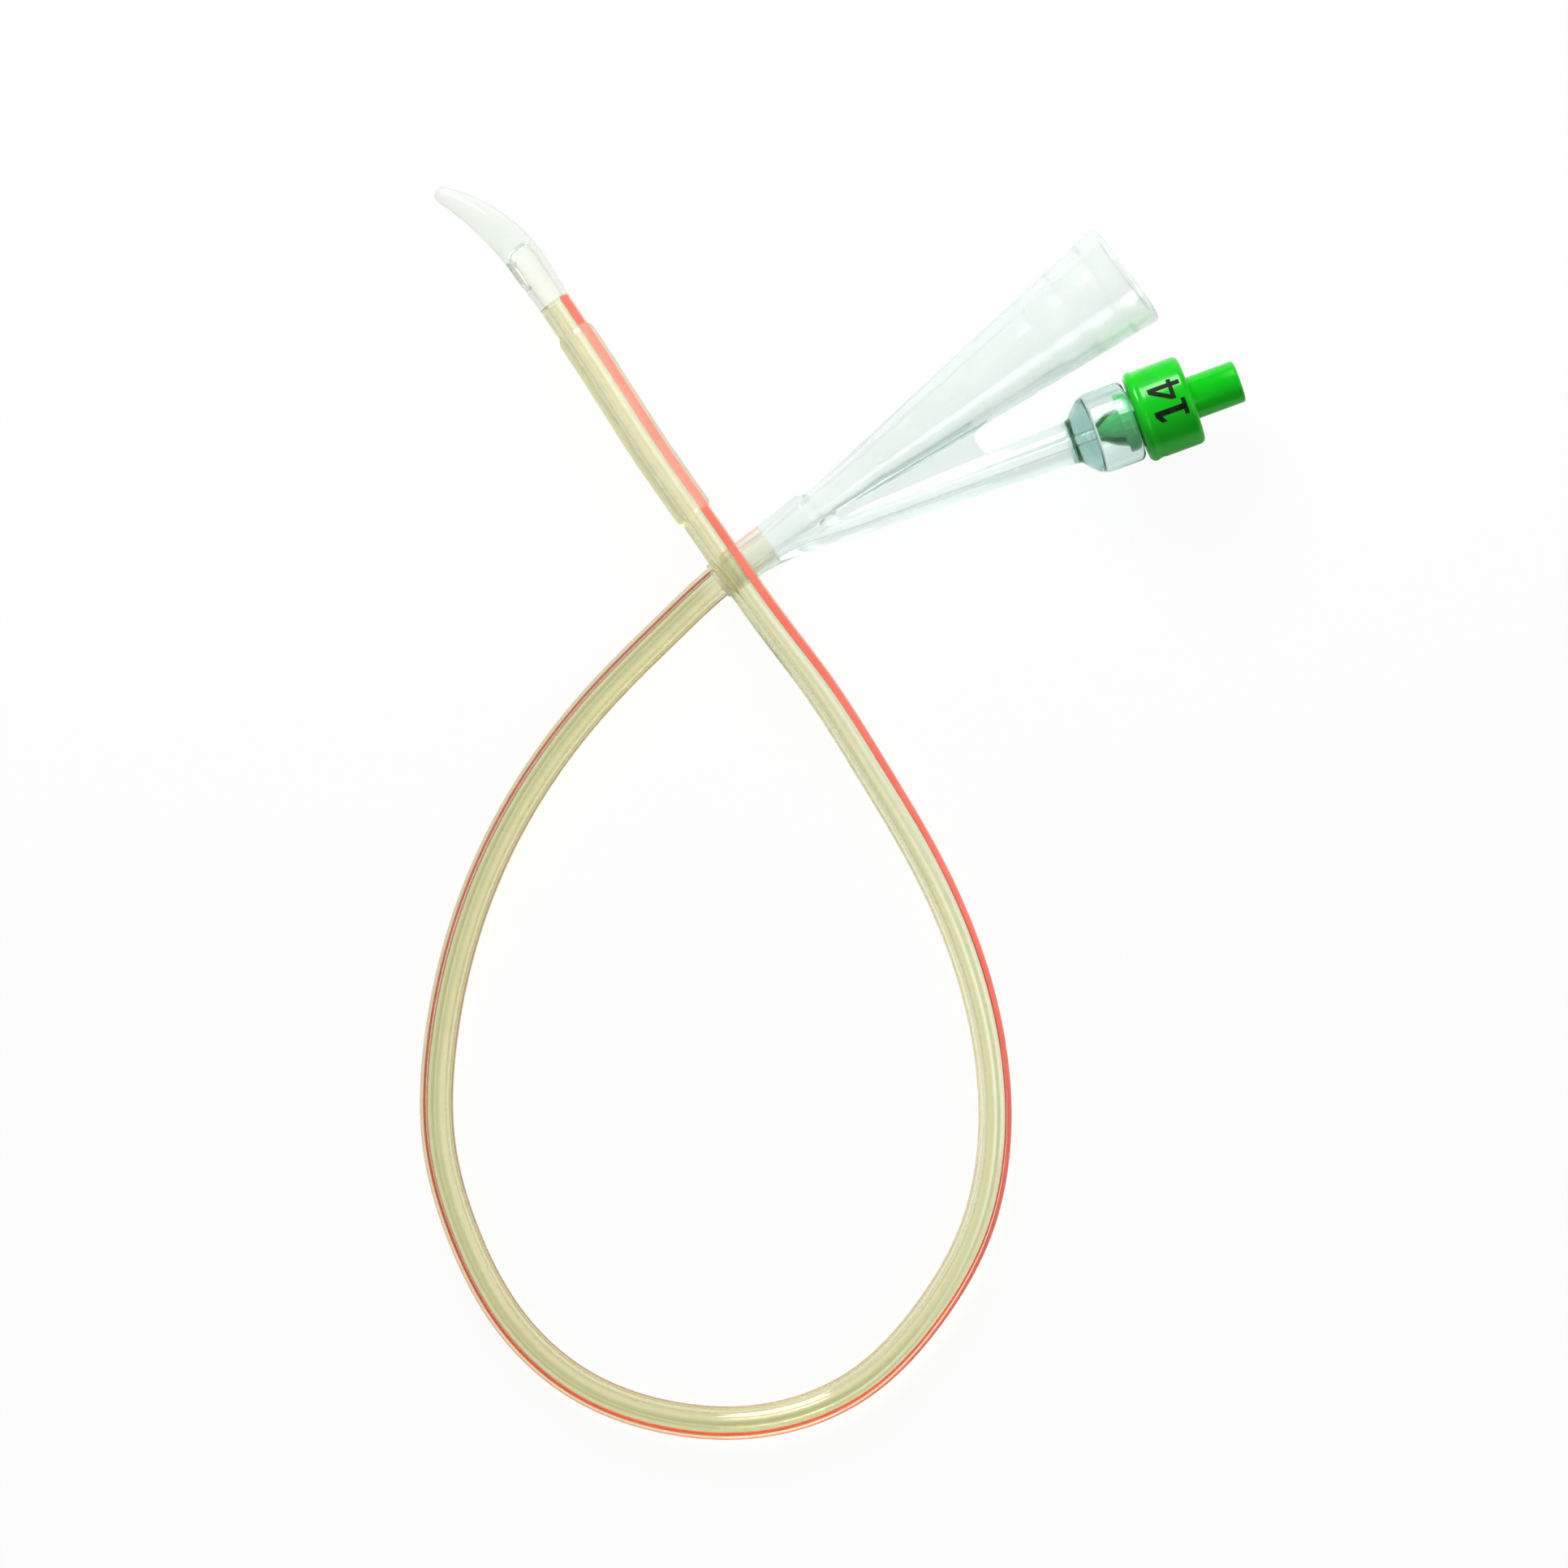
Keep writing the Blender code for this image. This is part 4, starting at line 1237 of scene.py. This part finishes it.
    def channel(self):
        """Narrow channel from the tube's inflation lumen to the socket."""
        turn = float(line_turn(0.0)) + math.pi
        lumen = settings().tube.diameter / 2 - FILL_DEPTH
        way = Vector((math.cos(ARM_ANGLE), -math.sin(ARM_ANGLE), 0))
        side = Vector((0, math.sin(turn), math.cos(turn))) * lumen
        stops = [
            Vector((POCKET_END - 0.0005, side.y, side.z)),
            Vector((POCKET_END + 0.0016, side.y - 0.0003, side.z * 0.9)),
            way * 0.0125,
            way * 0.0180,
            way * 0.0360,
            way * 0.0495,
        ]
        reach = [0.00035, 0.00035, 0.0005, *[CHANNEL_RADIUS] * 3]
        known = lengths_along(np.array(stops))
        points = smooth_plan([tuple(p) for p in stops[:4]], 8)
        points = np.vstack([points, [tuple(p) for p in stops[4:]]])
        along = lengths_along(points)
        wide = np.interp(along, known, reach)[:, None]
        outline = round_outline(wide, 20, np.zeros(len(along)))
        return swept("channel", along, points, unit(np.gradient(points, axis=0)), [outline])

    def socket(self):
        """The socket that the valve's core is pushed into."""
        cup_radius = settings().funnel.socket_radius
        bore_radius = 0.0045
        rim = 0.0581
        rim_round = 0.0010
        floor = 0.0523
        floor_round = 0.0005
        profile = [
            (0.0483, CHANNEL_RADIUS),
            (0.0483, 0.00297),
            (0.0486, 0.0030),
            (0.0494, 0.00325),
            (0.0503, (cup_radius + 0.0030) / 2),
            (0.0514, 0.0053),
            (0.0525, cup_radius * 0.99),
            (0.0532, cup_radius),
            *arc(rim - rim_round, cup_radius - rim_round, rim_round, 90, 0, 8),
            (rim, bore_radius + 0.0001),
            (rim - 0.0001, bore_radius),
            *arc(floor + floor_round, bore_radius - floor_round, floor_round, 90, 180, 5),
            (floor, CHANNEL_RADIUS),
        ]
        cup = turned("socket", profile, 128, ring=True)
        smooth_faces(cup, 35)
        put(cup, ARM_AXIS)
        look = clear_silicone(
            "socket_silicone_moulded", (0.95, 0.965, 0.955), 0.98, 110.0, (0.05, 0.12)
        )
        give(cup, look)
        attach(cup, "catheter")
        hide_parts("y_funnel")


class CATHETER_OT_valve(bpy.types.Operator):
    """Makes the valve's cap with its number, and finishes what is inside it"""

    bl_idname = "catheter.valve"
    bl_label = "Valve"

    def execute(self, context):
        sizes = settings().valve
        wide = sizes.cap_radius
        band = wide - CAP_RELIEF
        port = sizes.port_radius
        start = 0.0584
        end = 0.0665
        port_end = 0.0736
        bead = 0.0009
        inside = 0.0041
        port_round = 0.0004
        cap_round = 0.0008
        profile = [
            (port_end, 0.00215),
            *arc(port_end - port_round, port - port_round, port_round, 0, 90, 5),
            (end + 0.0003, port),
            (end + 0.0001, port + 0.0001),
            (end, port + 0.0003),
            *arc(end - cap_round, band - cap_round, cap_round, 0, 90, 7),
            (start + 2.50 * bead, band),
            (start + 2.30 * bead, wide - 0.00017),
            (start + 2.05 * bead, wide - 0.00019),
            (start + 1.80 * bead, wide - 0.00015),
            *arc(start + bead, wide - bead, bead, 55, 180, 11),
            (start, inside),
            (0.0651, inside),
            (0.0651, 0.00115),
            (0.0662, 0.00115),
            (0.0662, 0.00195),
        ]
        cap = turned("cap", profile, 128, ring=True)
        smooth_faces(cap, 35)
        put(cap, ARM_AXIS)
        green = tuple(settings().finishes.cap)
        paler = lighter(green, 1.12, 0.006)
        look = plastic(
            "cap_green_moulded", green, paler, (0.14, 0.24), 500.0, 0.05, specular=0.26
        )
        give(cap, look)
        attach(cap, "catheter")
        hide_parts("valve_cap")
        self.print_number(band)

        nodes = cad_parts
        looks = {
            "valve_core": plastic(
                "core_green_moulded", (0.003, 0.23, 0.045), (0.006, 0.28, 0.060), (0.25, 0.4)
            ),
            "valve_plunger": plastic(
                "plunger_white_moulded", (0.80, 0.83, 0.80), (0.88, 0.90, 0.87), (0.25, 0.4)
            ),
            "plunger_seal": plastic(
                "seal_rubber", (0.05, 0.05, 0.052), (0.085, 0.085, 0.085), (0.5, 0.7)
            ),
        }
        for name, look in looks.items():
            nodes[name].material_slots[0].material = look
        self.wind_spring(nodes["valve_spring"])
        return {"FINISHED"}

    def wind_spring(self, node):
        """The coil in the core's chamber, which gives way as the plunger goes in."""
        to_arm = ARM_AXIS.inverted() @ node.matrix_world
        heights = [(to_arm @ corner.co).z for corner in node.data.vertices]
        low = min(heights)
        high = max(heights)
        wire = SPRING_WIRE / 2
        steps = 48 * SPRING_TURNS
        angles = np.linspace(0.0, 2 * math.pi * SPRING_TURNS, steps)
        climb = np.linspace(low + wire, high - wire, steps)
        centres = np.stack(
            [SPRING_RADIUS * np.cos(angles), SPRING_RADIUS * np.sin(angles), climb], axis=1
        )
        ahead = unit(np.gradient(centres, axis=0))
        outline = round_outline(wire, 12, np.zeros(steps))
        spring = swept("spring", angles * SPRING_RADIUS, centres, ahead, [outline])
        put(spring, ARM_AXIS)
        look = plastic(
            "spring_wire", (0.60, 0.60, 0.61), (0.72, 0.72, 0.72), (0.18, 0.32), metallic=1.0
        )
        give(spring, look)
        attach(spring, "catheter")
        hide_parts("valve_spring")
        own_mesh(spring)

    def print_number(self, radius):
        """The size number on the cap's top, bent round it, in black ink."""
        height = settings().valve.number_height
        spots = []
        faces = []
        shift = -0.30 * height
        for outline, holes in (DIGIT_ONE, DIGIT_FOUR):
            loops = [outline, *holes]
            flat = [[Vector((x, y, 0)) for x, y in loop] for loop in loops]
            start = len(spots)
            count = sum(len(loop) for loop in loops)
            for depth in (-INK_DEPTH, INK_DEPTH):
                base = len(spots)
                for x, y in [corner for loop in loops for corner in loop]:
                    spots.append((x * height + shift, (y - 0.5) * height, depth))
                for face in tessellate_polygon(flat):
                    faces.append([base + v for v in face])
            for loop in loops:
                for k in range(len(loop)):
                    low = (start + k, start + (k + 1) % len(loop))
                    faces.append([*low, low[1] + count, low[0] + count])
                start += len(loop)
            shift += 0.62 * height
        data = bpy.data.meshes.new("size_number")
        data.from_pydata(spots, [], faces)
        number = add_object("size_number", data)
        shape = bmesh.new()
        shape.from_mesh(data)
        # Cuts across the digits let their flat faces bend round the cap
        for k in range(60):
            level = (k - 30) * 0.00012
            bmesh.ops.bisect_plane(
                shape,
                geom=shape.verts[:] + shape.edges[:] + shape.faces[:],
                plane_co=(level, 0, 0),
                plane_no=(1, 0, 0),
            )
        for v in shape.verts:
            around = NUMBER_TURN + v.co.x / radius
            reach = radius + 2 * INK_DEPTH + v.co.z
            v.co = Vector(
                (-reach * math.cos(around), reach * math.sin(around), NUMBER_AT - v.co.y)
            )
        bmesh.ops.recalc_face_normals(shape, faces=shape.faces)
        shape.to_mesh(data)
        shape.free()
        put(number, ARM_AXIS)
        ink = plastic(
            "number_ink",
            (0.003, 0.004, 0.003),
            (0.010, 0.03, 0.012),
            (0.45, 0.7),
            4000.0,
            specular=0.10,
        )
        give(number, ink)
        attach(number, "catheter")


class CATHETER_OT_lay(bpy.types.Operator):
    bl_idname = "catheter.lay"
    bl_label = "Lay Tube"

    def execute(self, context):
        route = TubeRoute()
        return {"FINISHED"}


class CATHETER_PT_panel(bpy.types.Panel):
    """The catheter's sizes, colours and operators"""

    bl_idname = "CATHETER_PT_panel"
    bl_label = "Catheter"
    bl_space_type = "VIEW_3D"
    bl_region_type = "UI"
    bl_category = "Catheter"

    def draw(self, context):
        for name in CatheterSettings.__annotations__:
            group = getattr(settings(), name)
            box = self.layout.box()
            box.label(text=name.capitalize())
            for key in group.__annotations__:
                box.prop(group, key)
        for made in OPERATORS:
            self.layout.operator(made.bl_idname)


GROUPS = (TubeSizes, TipSizes, FunnelSizes, ValveSizes, Finishes, CatheterSettings)
OPERATORS = (
    CATHETER_OT_stage,
    CATHETER_OT_tube,
    CATHETER_OT_balloon,
    CATHETER_OT_tip,
    CATHETER_OT_funnel,
    CATHETER_OT_valve,
    CATHETER_OT_lay,
)


def register():
    for made in (*GROUPS, *OPERATORS, CATHETER_PT_panel):
        bpy.utils.register_class(made)
    bpy.types.Scene.catheter = PointerProperty(type=CatheterSettings)


def unregister():
    del bpy.types.Scene.catheter
    for made in reversed((*GROUPS, *OPERATORS, CATHETER_PT_panel)):
        bpy.utils.unregister_class(made)


def main():
    register()
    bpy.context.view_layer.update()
    bpy.ops.catheter.stage()
    bpy.ops.catheter.tube()
    bpy.ops.catheter.balloon()
    bpy.ops.catheter.tip()
    bpy.ops.catheter.funnel()
    bpy.ops.catheter.valve()
    bpy.ops.catheter.lay()


if __name__ == "__main__":
    main()
